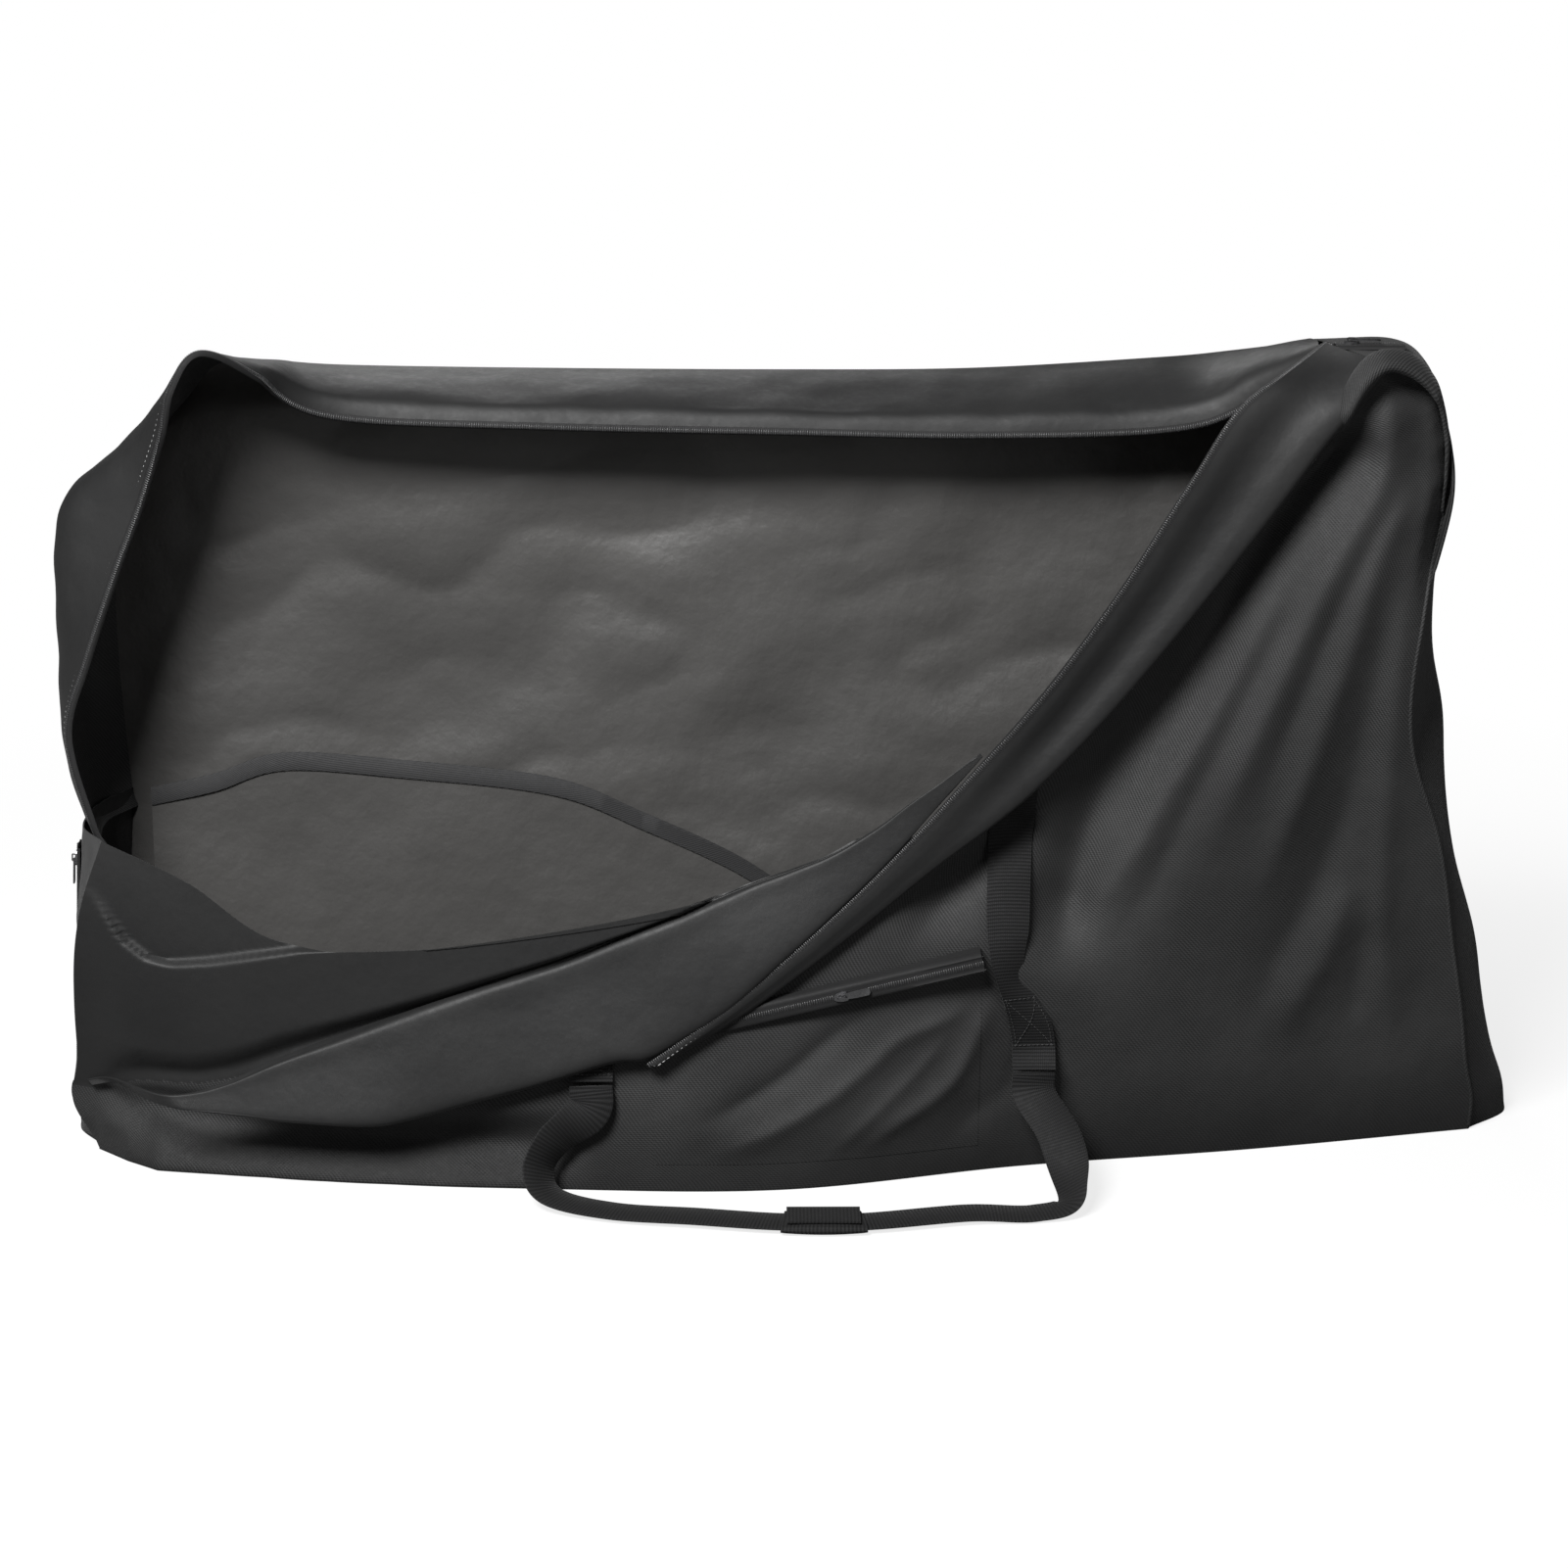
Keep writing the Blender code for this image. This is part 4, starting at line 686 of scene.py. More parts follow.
# %% [markdown]
# ## Metal
# Sliders and pulls are cast zinc with a dull nickel plate, rubbed brighter where fingers hold them. The
# solids already have the right shape, so they only get this finish.
# %% Metal finish
METAL, metal_tree = new_material("nickel_plate")
metal_place = add_node(metal_tree, "ShaderNodeTexCoord").outputs["Object"]
metal_wear = placed_group(metal_tree, handling, {"Place": metal_place, "Crease size": 160.0})
set_inputs(metal_tree, metal_tree.nodes["Principled BSDF"], {
    "Base Color": colour_mix(metal_tree, metal_wear.outputs["Rub"], (0.16, 0.16, 0.165), (0.42, 0.42, 0.43)),
    "Roughness": spread(metal_tree, metal_wear.outputs["Dust"], 0, 1, 0.22, 0.42),
    "Normal": bump(metal_tree, metal_wear.outputs["Crease"], 0.2, 0.0002),
    "Metallic": 1.0,
})
for name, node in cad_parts.items():
    if name.endswith(("_slider", "_pull")):
        for slot in node.material_slots:
            slot.material = METAL
print("metal finish on the sliders and pulls")

# %% [markdown]
# ## The gusset
# The gusset is the strip that gives the bag its depth. It runs up the right side, round the corner, and
# beyond the zip as two half strips. Here are the right side and the lower left side, which are whole. Each is a
# surface through its stations, pushed in or out where the real cloth sags, then crumpled a little.
# %% Right and left gussets
ACROSS_SEAM = 0.0006
FLOOR_LEVEL = CLOTH + ACROSS_SEAM


def front_seam(spots):
    """Places on the front's seams in metres, from shares of the length and the height."""
    return np.array([(x * LENGTH, 0, z * HEIGHT) for x, z in spots])


def gusset_grid(ring, front, row_steps, column_steps):
    """The surface from the back seam through the stations to the front seam, standing on the floor."""
    rows = np.concatenate([ring * SIZE, front_seam(front)[:, None]], axis=1)
    rows[:, -1, 1] = hang_y(rows[:, -1, 0], rows[:, -1, 2])
    grid = surface_through(rows, row_steps, column_steps)
    grid[0, :, 2] = FLOOR_LEVEL
    return grid


def pushed(grid, places, column_power):
    """Bulges of a gusset sideways: (height, how tall, how far), strongest at its front edge."""
    share = np.linspace(0, 1, grid.shape[1]) ** column_power
    for height, tall, far in places:
        grid[..., 0] += far * share * np.exp(-(((grid[..., 2] - height) / tall) ** 2))
    return grid


def hung_on_front(grid):
    """Puts the last column of a gusset on the front panel's edge, and gives that edge back."""
    edge = grid[:, -1].copy()
    edge[:, 1] = front_face(edge[:, 0], edge[:, 2])
    grid[:, -1] = edge
    grid[:, -1, 1] += CLOTH + ACROSS_SEAM
    return edge


def crumpled(grid, size, depth, seed, margin=6, calm=None):
    """Lets a cloth ripple away from its sewn edges, and from a zip at y = calm."""
    rows, columns = (np.clip(from_ends(count) / margin, 0, 1) for count in grid.shape[:2])
    push = ripple(grid, size, seed) * depth * rows[:, None] * columns[None]
    if calm is not None:
        push = push * eased((np.abs(grid[..., 1] - calm) - 0.014) / 0.03)
    return grid + normals_of(grid) * push[..., None]


right_grid = gusset_grid(RIGHT_RING, RIGHT_FRONT, 14, 16)
right_grid = pushed(right_grid, ((0.50, 0.10, -0.006), (0.22, 0.07, -0.006), (0.035, 0.03, 0.006)), 0.4)
right_edge = hung_on_front(right_grid)
left_grid = gusset_grid(LEFT_RING, LEFT_FRONT, 35, 14)
left_grid = pushed(left_grid, ((0.22, 0.09, -0.006), (0.055, 0.036, -0.018)), 4.0)
left_edge = hung_on_front(left_grid)

right_cloth = crumpled(right_grid, 0.09, 0.004, 1)
sewn_sheet("right_gusset_cloth", right_cloth, (TWILL, COATING), "stretched", ["back_panel"], "right_gusset",
           turned=1)
zip_y = np.mean([v.co.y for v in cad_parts["left_zip_closed"].data.vertices])
left_cloth = crumpled(crumpled(left_grid, 0.07, 0.006, 2, calm=zip_y), 0.028, 0.002, 12, calm=zip_y)
sewn_sheet("left_gusset_cloth", left_cloth, (TWILL, COATING), "stretched", ["back_panel"], "left_lower_gusset")

# %% [markdown]
# ## The front panel
# One wide piece of cloth from the floor to the slanted edge. To the left of the zip it is turned down, so its
# coated inner side shows there. The grid is stretched between the four sewn edges and then pushed by the
# folds.
# %% Front panel
PANEL_STEPS = 16
FOOT_X = (-0.740, -0.70, -0.664, -0.60, -0.545, -0.48, -0.415, -0.33, -0.17)
FOOT_BACK = (-0.010, -0.033, -0.045, -0.027, -0.014, -0.006, -0.002, -0.002, 0)
UNDER_LIP = np.array((
    (556, 780), (573, 817), (588, 840), (608, 855), (633, 848), (657, 828), (670, 800), (675, 730),
)) / 1000
UNDER_LIP_DEPTH, UNDER_LIP_WIDTH = 0.011, 0.016

low = np.array([(share * LENGTH, 0, FLOOR_LEVEL) for share in FRONT_BOTTOM])
front_low = curve_through(low, PANEL_STEPS)
front_high = curve_through(front_seam(FRONT_TOP), PANEL_STEPS)
front_low[0], front_low[-1] = left_edge[0], right_edge[0]
front_high[0], front_high[-1] = left_edge[-1], right_edge[-1]
front_grid = patch(front_low, front_high, left_edge, right_edge)
x, z = front_grid[..., 0], front_grid[..., 2]
front_grid[..., 1] = front_face(x, z)
# Its left foot bulges forward, and under the turned out corner it hangs back
open_side = eased((-0.17 - x) / 0.16) * eased((x + 0.735) / 0.07)
hang_back = 0.030 * open_side * eased(z / 0.046) * (1 - eased((z - 0.046) / 0.045))
front_grid[..., 1] += np.interp(x, FOOT_X, FOOT_BACK) * (1 - eased((z - 0.030) / 0.05)) + hang_back
# Under the lip of the top right corner it sinks in
from_lip = along_line(x, z, evenly(curve_through(UNDER_LIP, 6), 40))[0]
sunk = UNDER_LIP_DEPTH * from_lip / UNDER_LIP_WIDTH * np.exp(1 - from_lip / UNDER_LIP_WIDTH)
front_grid[..., 1] += sunk * eased((z - 0.70) / 0.06)

zip_line = curve_through(front_seam(STRIP_ZIP), 4)[::-1]
above_crease = z > np.interp(x, RIDGE[:, 0], RIDGE[:, 1]) - 0.012
turned_out = above_crease & (x < np.interp(z, zip_line[:, 2], zip_line[:, 0]) + 0.02)
sewn_sheet("front_panel_cloth", front_grid, (TWILL, COATING), "hung", ["bottom_panel"], "front_panel",
           inner_region=turned_out)

# %% [markdown]
# ## The half gusset behind the mouth
# Over the top and down the upper left the gusset's rear half stands free and leans over the mouth, with the
# open zip on its edge. It is one strip with a sewn corner, so it is lofted in one go and cut at the corner.
# %% Rear half gusset and its zip tape
TAPE_WIDTH = 0.012
TAPE_THICKNESS = 0.0008
RING_STEPS = 14


def tape_with_turned_edge(edge, out, face):
    """A zip tape on a cloth's edge: a few millimetres show with the coil, and the rest turns in behind."""
    places = (
        (-0.004, 0.0004), (0.0, 0.0006), (0.0058, 0.0002), (0.0070, -0.0020), (0.0062, 0.007 - TAPE_WIDTH),
    )
    return np.stack([edge + out * reach + face * rise for reach, rise in places], axis=1)


# Its lower end tucks inside the gusset below, where the opened zip ends
tucked = REAR_RING[0] - ((-0.004, 0, 0.032), (-0.009, 0, 0.032), (-0.009, 0, 0.032), (-0.008, 0, 0.032))
ring = surface_through(np.concatenate([tucked[None], REAR_RING]) * SIZE, RING_STEPS, 10)
corner = (REAR_CORNER + 1) * RING_STEPS
station, rib = np.arange(len(ring)), np.arange(ring.shape[1])
# Along the top it is pulled almost straight, and its edge rolls down towards the zip
straight = ring[:, :1] + (ring[:, -1:] - ring[:, :1]) * np.linspace(0, 1, ring.shape[1])[None, :, None]
pull = 0.7 * eased((station - corner - 10) / 24) * eased((len(ring) - 1 - station) / 24)
ring = ring + (straight - ring) * pull[:, None, None]
rolled = eased((station - corner) / 20)[:, None] * np.clip((rib - len(rib) + 6) / 5, 0, 1)[None] ** 2
ring = ring - normals_of(ring) * (0.010 * rolled)[..., None]
rear_cloth = crumpled(crumpled(ring, 0.10, 0.005, 3), 0.035, 0.0015, 13)
outward = unit(ring[:, -1] - ring[:, -4])
ring_faces = normals_of(ring)[:, -1]
for label, first, last in (("left", 0, corner), ("top", corner, len(ring) - 1)):
    part = slice(first, last + 1)
    wall = f"{label}_rear_gusset"
    sewn_sheet(f"{wall}_cloth", rear_cloth[part], (TWILL, COATING), "stretched", ["back_panel"], wall, turned=1)
    strip = tape_with_turned_edge(ring[part, -1], outward[part], ring_faces[part])
    sewn_sheet(f"{label}_rear_tape_cloth", strip, (TAPE, TAPE), "stretched", [f"{wall}_cloth"],
               f"{label}_rear_zip_tape", slot="zip_tape", thickness=TAPE_THICKNESS, turned=1)

# %% [markdown]
# ## The back of the bag
# The wide wall behind everything, sewn to the gussets on three sides and to the floor. It is stretched between
# those seams, and away from them the cloth rumples under its own weight, with its pale lining towards us.
# %% Back panel
BACK_FACE = BACK_SEAM + SOLID_CLOTH * 0.5
back_left = np.concatenate([left_grid[:, 0], ring[15 : corner - 13, 0]])
back_left = evenly(back_left, len(right_grid) - 1)
back_top = np.concatenate([[back_left[-1]], ring[corner - 12 :, 0], [right_grid[-1, 0]]])
back_low = np.linspace(back_left[0], right_grid[0, 0], len(back_top))
back_grid = patch(back_low, back_top, back_left, right_grid[:, 0])
back_grid[..., 1] = BACK_FACE
rumple = 0.010 + ripple(back_grid, 0.24, 4) * 0.016 + np.abs(ripple(back_grid * (1, 1, 1.3), 0.11, 14)) * 0.009
border = [eased(from_ends(count) / 14) for count in back_grid.shape[:2]]
back_grid[..., 1] -= rumple * (border[0][:, None] * border[1][None])
sewn_sheet("back_panel_cloth", back_grid, (TWILL, LINING), "stretched", ["bottom_panel"], "back_panel", turned=1)

# %% [markdown]
# ## The floor of the bag
# The floor carries the load, so it lies flat, a hair off the ground. It is one flat sheet between the lower
# edges of the front, the back and both gussets, which keeps every seam closed.
# %% Bottom panel
bottom_left = left_grid[0][::-1].copy()
bottom_right = evenly(right_grid[0][::-1], len(bottom_left) - 1)
bottom_front = front_grid[0].copy()
bottom_back = np.linspace(bottom_left[-1], bottom_right[-1], len(bottom_front))
bottom_left[0], bottom_right[0] = bottom_front[0], bottom_front[-1]
bottom_grid = patch(bottom_front, bottom_back, bottom_left, bottom_right)
bottom_grid[..., 2] = FLOOR_GAP
bottom_top = bottom_grid + (0, 0, CLOTH)
sewn_sheet("bottom_panel_cloth", bottom_grid, (TWILL, COATING), "laid", [], "bottom_panel", inner=bottom_top)

# %% [markdown]
# ## The slanted half gusset
# The front half of the gusset is a strip about a hand wide. It is sewn to the panel's edge and carries the
# other side of the zip, and it rolls over the seam so that its outside faces the viewer.
# %% Front strip
STRIP_STEPS = 12
# How far across from the seam to the zip, and how high it stands off the panel at its upper and lower end
STRIP_PROFILE = curve_through((
    (0.0, -0.0014, -0.0014), (0.03, 0.0042, 0.0012), (0.08, 0.0090, 0.0030), (0.16, 0.0110, 0.0045),
    (0.28, 0.0108, 0.0060), (0.40, 0.0090, 0.0070), (0.50, 0.0078, 0.0080), (0.60, 0.0082, 0.0090),
    (0.70, 0.0105, 0.0100), (0.80, 0.0145, 0.0105), (0.90, 0.0180, 0.0108), (1.0, 0.0195, 0.0108),
), 3)


def strip_row(values):
    """A table of values down the strip, in shares of the bag's depth, as metres at every step."""
    return np.clip(curve_through(np.array(values)[:, None], STRIP_STEPS)[:, 0], 0, 1) * DEPTH


seam = curve_through(np.concatenate([front_seam(FRONT_TOP)[:7:-1], STRIP_SEAM_LOW]), STRIP_STEPS)
zip_edge = curve_through(front_seam(STRIP_ZIP), STRIP_STEPS)
down = np.linspace(0, 1, len(seam))
share = STRIP_PROFILE[:, 0][None]
start = seam - unit(zip_edge - seam) * 0.006
strip_grid = start[:, None] + (zip_edge - start)[:, None] * share[..., None]
strip_x, strip_z = strip_grid[..., 0], strip_grid[..., 2]
ground = hang_y(strip_x, strip_z) - SOLID_CLOTH - CLOTH - 0.0012
# Its seam goes down into the valley beside it, and the rest spans over the valley
folded = fold_height(strip_x, strip_z)
ground -= np.where(folded > 0, folded, folded * (1 - eased(share / 0.12)))
flat_end = eased((down - 0.42) / 0.25)[:, None]
crown = STRIP_PROFILE[:, 1][None] * (1 - flat_end) + STRIP_PROFILE[:, 2][None] * flat_end
crown = crown * eased(down / 0.08)[:, None]
lift = strip_row(STRIP_LIFT) * (1 - 0.6 * flat_end[:, 0])
recede = strip_row(STRIP_RECEDE) * np.interp(down, (0, 0.07, 0.20, 0.55, 0.75, 1), (1, 0.65, 0.25, 0.25, 0, 0))
strip_grid[..., 1] = ground - lift[:, None] * eased(share / 0.14) - crown + recede[:, None] * share**1.5
# The strip's outside wears the darker twill, a painted shade
sewn_sheet("front_strip_cloth", strip_grid, (SHADED_SMOOTH_TWILL, COATING), "stretched", ["front_panel_cloth"],
           "front_gusset_strip", turned=1)
strip_out = unit(strip_grid[:, -1] - strip_grid[:, -4])
strip_faces = normals_of(strip_grid)
tape_rows = tape_with_turned_edge(strip_grid[:, -1], strip_out, strip_faces[:, -1])
sewn_sheet("front_tape_cloth", tape_rows, (TAPE, TAPE), "stretched", ["front_strip_cloth"], "front_zip_tape",
           slot="zip_tape", thickness=TAPE_THICKNESS, turned=1)

# %% [markdown]
# ## The turned out corner
# The left part of the front is pulled down and folds over itself. Its last fold is a curved ridge, and the cloth
# below it hangs as a leaf with a rolled edge. Along its left part the crease is brought to one straight line,
# and it blends back into the bag at both ends of that stretch.
# %% Flap
FLAP_LOW = np.array((
    (-738, 80), (-700, 90), (-660, 91), (-627, 90), (-568, 84), (-518, 79), (-437, 76), (-397, 81), (-315, 104),
    (-254, 121), (-177, 146), (-140, 150), (-98, 174), (-53, 204), (-4, 248), (50, 297), (106, 353), (160, 415),
    (203, 464),
)) / 1000
# How far down the leaf, and how far it stands forward of the crease: a rolled top edge, then a slow sag
FLAP_PROFILE = (
    (0.0, -0.012), (0.006, -0.005), (0.018, 0.0005), (0.045, 0.0040), (0.10, 0.0060), (0.25, 0.0090),
    (0.5, 0.0150), (0.8, 0.0215), (0.94, 0.0225), (1.0, 0.0180),
)
FLAP_COLUMNS = 200
HINGE_Y = -0.1745

ridge, leaf_low = (evenly(curve_through(line, 8), FLAP_COLUMNS) for line in (RIDGE, FLAP_LOW))
ridge_x, ridge_z = ridge[:, 0], ridge[:, 1]
profile = curve_through(FLAP_PROFILE, 5)
share, forward = profile[:, 0][:, None], profile[:, 1][:, None]
points = ridge[None] * (1 - share[..., None]) + leaf_low[None] * share[..., None]
crease_y = hang_y(ridge_x, ridge_z) - SOLID_CLOTH - 0.004 - np.maximum(fold_height(ridge_x, ridge_z), 0)
on_hinge = eased((ridge_x + 0.735) / 0.10) * eased((-0.04 - ridge_x) / 0.20)
crease_y = crease_y + (np.minimum(crease_y, HINGE_Y) - crease_y) * on_hinge
narrow = eased((0.200 - ridge_x) / 0.22)
leaf_height = np.clip(np.linalg.norm(ridge - leaf_low, axis=1) / 0.095, 0, 1)
leaf_y = crease_y[None] - forward * ((0.25 + 0.75 * narrow) * leaf_height)[None]
leaf_y = np.minimum(leaf_y, front_face(points[..., 0], points[..., 1]) - 0.003 - 0.006 * share * narrow[None])
flap_grid = crumpled(np.stack([points[..., 0], leaf_y, points[..., 1]], axis=-1)[::-1], 0.12, 0.003, 5)
flap_cloth = sewn_sheet("front_flap_cloth", flap_grid, (COATING, TWILL), "folded", ["front_panel_cloth"],
                        "front_flap", body=None, slot="lining")
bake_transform(flap_cloth)

# %% [markdown]
# ## The rolled lip at the top right corner
# Where the gusset turns the corner its cloth rolls over the seam and stands off the panel, so that a deep
# shadow lies under the lip. It is a narrow band between two outlines, carried back over the gusset.
# %% Corner lip
LIP_BACK = np.array((
    (541, 780), (550, 805), (565, 835), (584, 862), (606, 872), (634, 866), (659, 842), (674, 806), (681, 762),
    (677.5, 700),
)) / 1000
LIP_EDGE = np.array((
    (555, 780), (564, 794), (573, 815), (588, 838), (608, 853), (633, 846), (656, 826), (669, 798), (675, 762),
    (676.5, 700),
)) / 1000
LIP_WIDTH = 0.018
# How far from the back outline to the edge, how far forward of the panel, and how far further in, in metres
LIP_ROWS = ((0.0, -0.034, 0.012), (0.0, -0.016, 0.003), (0.0, -0.004, 0), (0.2, 0.007, 0), (0.5, 0.015, 0),
            (0.8, 0.017, 0), (1.0, 0.0135, 0))

lip_back, lip_edge = curve_through(LIP_BACK, 10), curve_through(LIP_EDGE, 10)
ends = eased(from_ends(len(lip_back)) / 14)
lip_rows = []
for share, forward, inward in LIP_ROWS:
    spots = lip_back + (lip_edge - lip_back) * (share + inward / LIP_WIDTH)
    lip_y = front_face(spots[:, 0], spots[:, 1]) - forward * (0.25 + 0.75 * ends)
    lip_rows.append(np.stack([spots[:, 0], lip_y, spots[:, 1]], axis=1))
lip_grid = curve_through(lip_rows, 5)
sewn_sheet("corner_lip_cloth", lip_grid, (TWILL, TWILL), "folded", ["front_panel_cloth"], thickness=0.0014)

# %% [markdown]
# ## The wheel pocket inside
# A tall sheet stands inside the lower left, sewn at its foot, with a webbing tape folded over its free edge. A
# wheel goes behind it, so it stands a little off the back panel and ripples.
# %% Wheel pocket
pocket_top = evenly(curve_through(front_seam(WHEEL_POCKET_TOP), 12), 90)
wheel_z = FLOOR_LEVEL + (pocket_top[:, 2] - CLOTH - ACROSS_SEAM) * np.linspace(0, 1, 40)[:, None]
wheel_y = np.full(wheel_z.shape, BACK_SEAM - WHEEL_POCKET_STANDOFF - 0.0022)
wheel_grid = crumpled(np.stack([pocket_top[:, 0] + 0 * wheel_z, wheel_y, wheel_z], axis=-1), 0.12, 0.0035, 6)
sewn_sheet("wheel_pocket_cloth", wheel_grid, (LINING, LINING), "hung", ["bottom_panel_cloth"],
           "inner_wheel_pocket", slot="lining", thickness=0.0012)
# The tape's section: how far behind the sheet and how far below its edge
binding_section = ((-0.0012, 0.018), (-0.0012, 0.0), (0.0006, -0.0012), (0.0024, 0.0), (0.0024, 0.018))
binding_grid = np.array([wheel_grid[-1] + (0, behind, -below) for behind, below in binding_section])
sewn_sheet("wheel_pocket_binding", binding_grid, (BINDING, BINDING), "folded", ["wheel_pocket_cloth"],
           "inner_pocket_binding", slot="webbing", thickness=TAPE_THICKNESS, turned=0)

# %% [markdown]
# ## The front pocket
# A flat pocket is sewn on between the two handles' legs. Its cloth lies on the front panel and takes over the
# panel's folds, with a little slack in its middle.
# %% Front pocket
POCKET_LEFT, POCKET_RIGHT = -0.135, 0.205
POCKET_FOOT, POCKET_TOP = 0.0361 * HEIGHT, np.array((0.2024, 0.3012)) * HEIGHT
pocket_x = np.linspace(POCKET_LEFT, POCKET_RIGHT, 110)[None]
pocket_share = np.linspace(0, 1, 60)[:, None]
pocket_z = np.interp(pocket_x, (POCKET_LEFT, POCKET_RIGHT), POCKET_TOP)
pocket_z = POCKET_FOOT + (pocket_z - POCKET_FOOT) * pocket_share
slack = eased(np.minimum(pocket_x - POCKET_LEFT, POCKET_RIGHT - pocket_x) / 0.05) * eased(pocket_share / 0.25)
pocket_y = front_face(pocket_x, pocket_z) - 0.0006 - 0.0026 * slack
pocket_grid = np.stack([pocket_x + 0 * pocket_z, pocket_y, pocket_z], axis=-1)
sewn_sheet("front_pocket_cloth", pocket_grid, (TWILL, COATING), "stretched", ["front_panel_cloth"],
           "front_pocket", thickness=0.0014)

# %% [markdown]
# ## Closed zips
# Where a zip is shut its two tapes lie edge to edge under one coil. The solids of these places are straight
# bars, so each cloth strip starts from its bar: it domes up under the coil and drops to the cloth at both
# sides.
# %% Closed zips
STITCH_LINES, DARK_STITCH_LINES, COIL_LINES = [], [], []
OFF_CLOTH = 0.0003


def keep_line(lines, spots, outward, rise=OFF_CLOTH):
    """Keeps a line for stitches or a coil, a hair off its cloth, with the direction out of the cloth."""
    outward = np.broadcast_to(outward, spots.shape)
    lines.append((spots + outward * rise, outward))


def bar_axes(node, outward):
    """A bar's middle, its directions along, across and out, and its three lengths."""
    points = np.array([v.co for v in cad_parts[node].data.vertices])
    centre = points.mean(axis=0)
    axes = np.linalg.svd(points - centre, full_matrices=False)[2]
    places = [(points - centre) @ axis for axis in axes]
    spans = [np.ptp(along_axis) for along_axis in places]
    centre = centre + sum(axis * (near.min() + near.max()) / 2 for axis, near in zip(axes, places))
    (along, length), (across, width), (out, thickness) = sorted(zip(axes, spans), key=lambda pair: -pair[1])
    out = out * np.sign(out @ np.array(outward, float))
    return centre, along, across, out, (length, width, thickness)


def closed_zip(name, node, wall, outward, drop, ground=None):
    """Two tapes over a bar. drop is how far the edges go down, and ground a face that they lie on."""
    centre, along, across, out, (length, width, thickness) = bar_axes(node, outward)
    half = ((-0.5, -drop), (-0.42, 0.0), (-0.25, 0.3), (-0.1, 0.45), (0, 0.5))
    section = half + tuple((-side, rise) for side, rise in half[-2::-1])
    rows = np.array([[centre + along * length * step + across * width * side + out * thickness * rise
                      for side, rise in section] for step in np.linspace(-0.5, 0.5, 60)])
    if ground is not None:
        rows[:, (0, -1), 1] = ground(rows[:, (0, -1), 0], rows[:, (0, -1), 2]) - 0.0036
    grid = curve_through(rows.transpose(1, 0, 2), 2).transpose(1, 0, 2)
    sewn_sheet(name, grid, (TAPE, TAPE), "stretched", [wall], node, slot="zip_tape", thickness=0.0009)
    middle = grid[:, grid.shape[1] // 2]
    keep_line(COIL_LINES, middle, out, 0.0002)
    for side in (-0.33, 0.33):
        keep_line(DARK_STITCH_LINES, middle + across * width * side, out, -thickness * 0.25)


closed_zip("left_closed_zip_cloth", "left_zip_closed", "left_gusset_cloth", (-1, 0, 0), 1.2)
closed_zip("right_closed_zip_cloth", "right_zip_closed", "right_gusset_cloth", (0, 0, 1), 1.2)
closed_zip("pocket_zip_cloth", "pocket_zip_tape", "front_panel_cloth", (0, -1, 0), 0.4, front_face)

# %% [markdown]
# ## Straps
# Each handle is one long strap of thick webbing. Webbing bends easily along its length and hardly at all across
# its width, so a strap is a tube with a flat section, carried along a path that says at each place which way
# its width lies.
# %% Strap shapes
STRAP_WIDTH, STRAP_THICKNESS = 0.045, 0.0022
STRAP_STEPS = 20
HANDLE_REACH = 0.125
GRIP_HEIGHT = 0.0120
ABOVE_FLOOR = 0.0004
# Places along a loop: share of the way across, share of the reach, share of the height of the ends, and the
# direction of the strap's width in x and y
HANDLE_ROUTE = np.array((
    (-0.500, 0.00, 1.00, 1.0, 0.0), (-0.506, 0.03, 0.78, 1.0, 0.0), (-0.583, 0.08, 0.53, 0.9, -0.45),
    (-0.618, 0.17, 0.28, 0.65, -0.8), (-0.585, 0.34, 0.10, 0.4, -1.0), (-0.450, 0.56, 0.05, 0.2, -1.0),
    (-0.262, 0.76, 0.04, 0.1, -1.0), (-0.070, 0.95, 0.06, 0.0, -1.0), (0.110, 1.01, 0.06, 0.0, -1.0),
    (0.340, 0.90, 0.03, 0.0, -1.0), (0.490, 0.90, 0.03, 0.0, -1.0), (0.575, 0.78, 0.12, -0.3, -1.0),
    (0.556, 0.34, 0.50, -1.0, -0.15), (0.503, 0.03, 0.78, -1.0, 0.0), (0.500, 0.00, 1.00, -1.0, 0.0),
))
# The two sewn ends of each loop, and which way it reaches
HANDLE_ENDS = {
    "front": ((-0.200, -0.183, 0.118), (0.262, -0.138, 0.118), -1),
    "back": ((-0.200, 0.141, 0.118), (0.262, 0.141, 0.118), 1),
}


def strap_path(left, right, side):
    """The middle of a loop, and its directions across and out of the strap."""
    left, right = np.array(left), np.array(right)
    middle = (left + right) / 2
    across, reach, high, turn_x, turn_y = HANDLE_ROUTE.T
    base = left[1] + (right[1] - left[1]) * np.clip(across + 0.5, 0, 1)
    centres = np.stack([
        middle[0] + across * (right[0] - left[0]),
        base + side * reach * HANDLE_REACH,
        np.maximum(high * middle[2], STRAP_THICKNESS / 2 + ABOVE_FLOOR),
    ], axis=1)
    centres[6:10, 2] = GRIP_HEIGHT / 2 + ABOVE_FLOOR
    centres[0], centres[-1] = left, right
    hints = np.stack([turn_x, side * turn_y, np.zeros(len(turn_x))], axis=1)
    hints[0] = unit(right - left)
    hints[-1] = -hints[0]
    centres, hints = curve_through(centres, STRAP_STEPS), curve_through(hints, STRAP_STEPS)
    along = np.gradient(centres, axis=0)
    along[0], along[-1] = (0, 0, -1), (0, 0, 1)
    along = unit(along)
    across = unit(hints - along * (hints * along).sum(axis=1, keepdims=True))
    return centres, across, np.cross(along, across)


print("a strap's route has", len(HANDLE_ROUTE), "places")

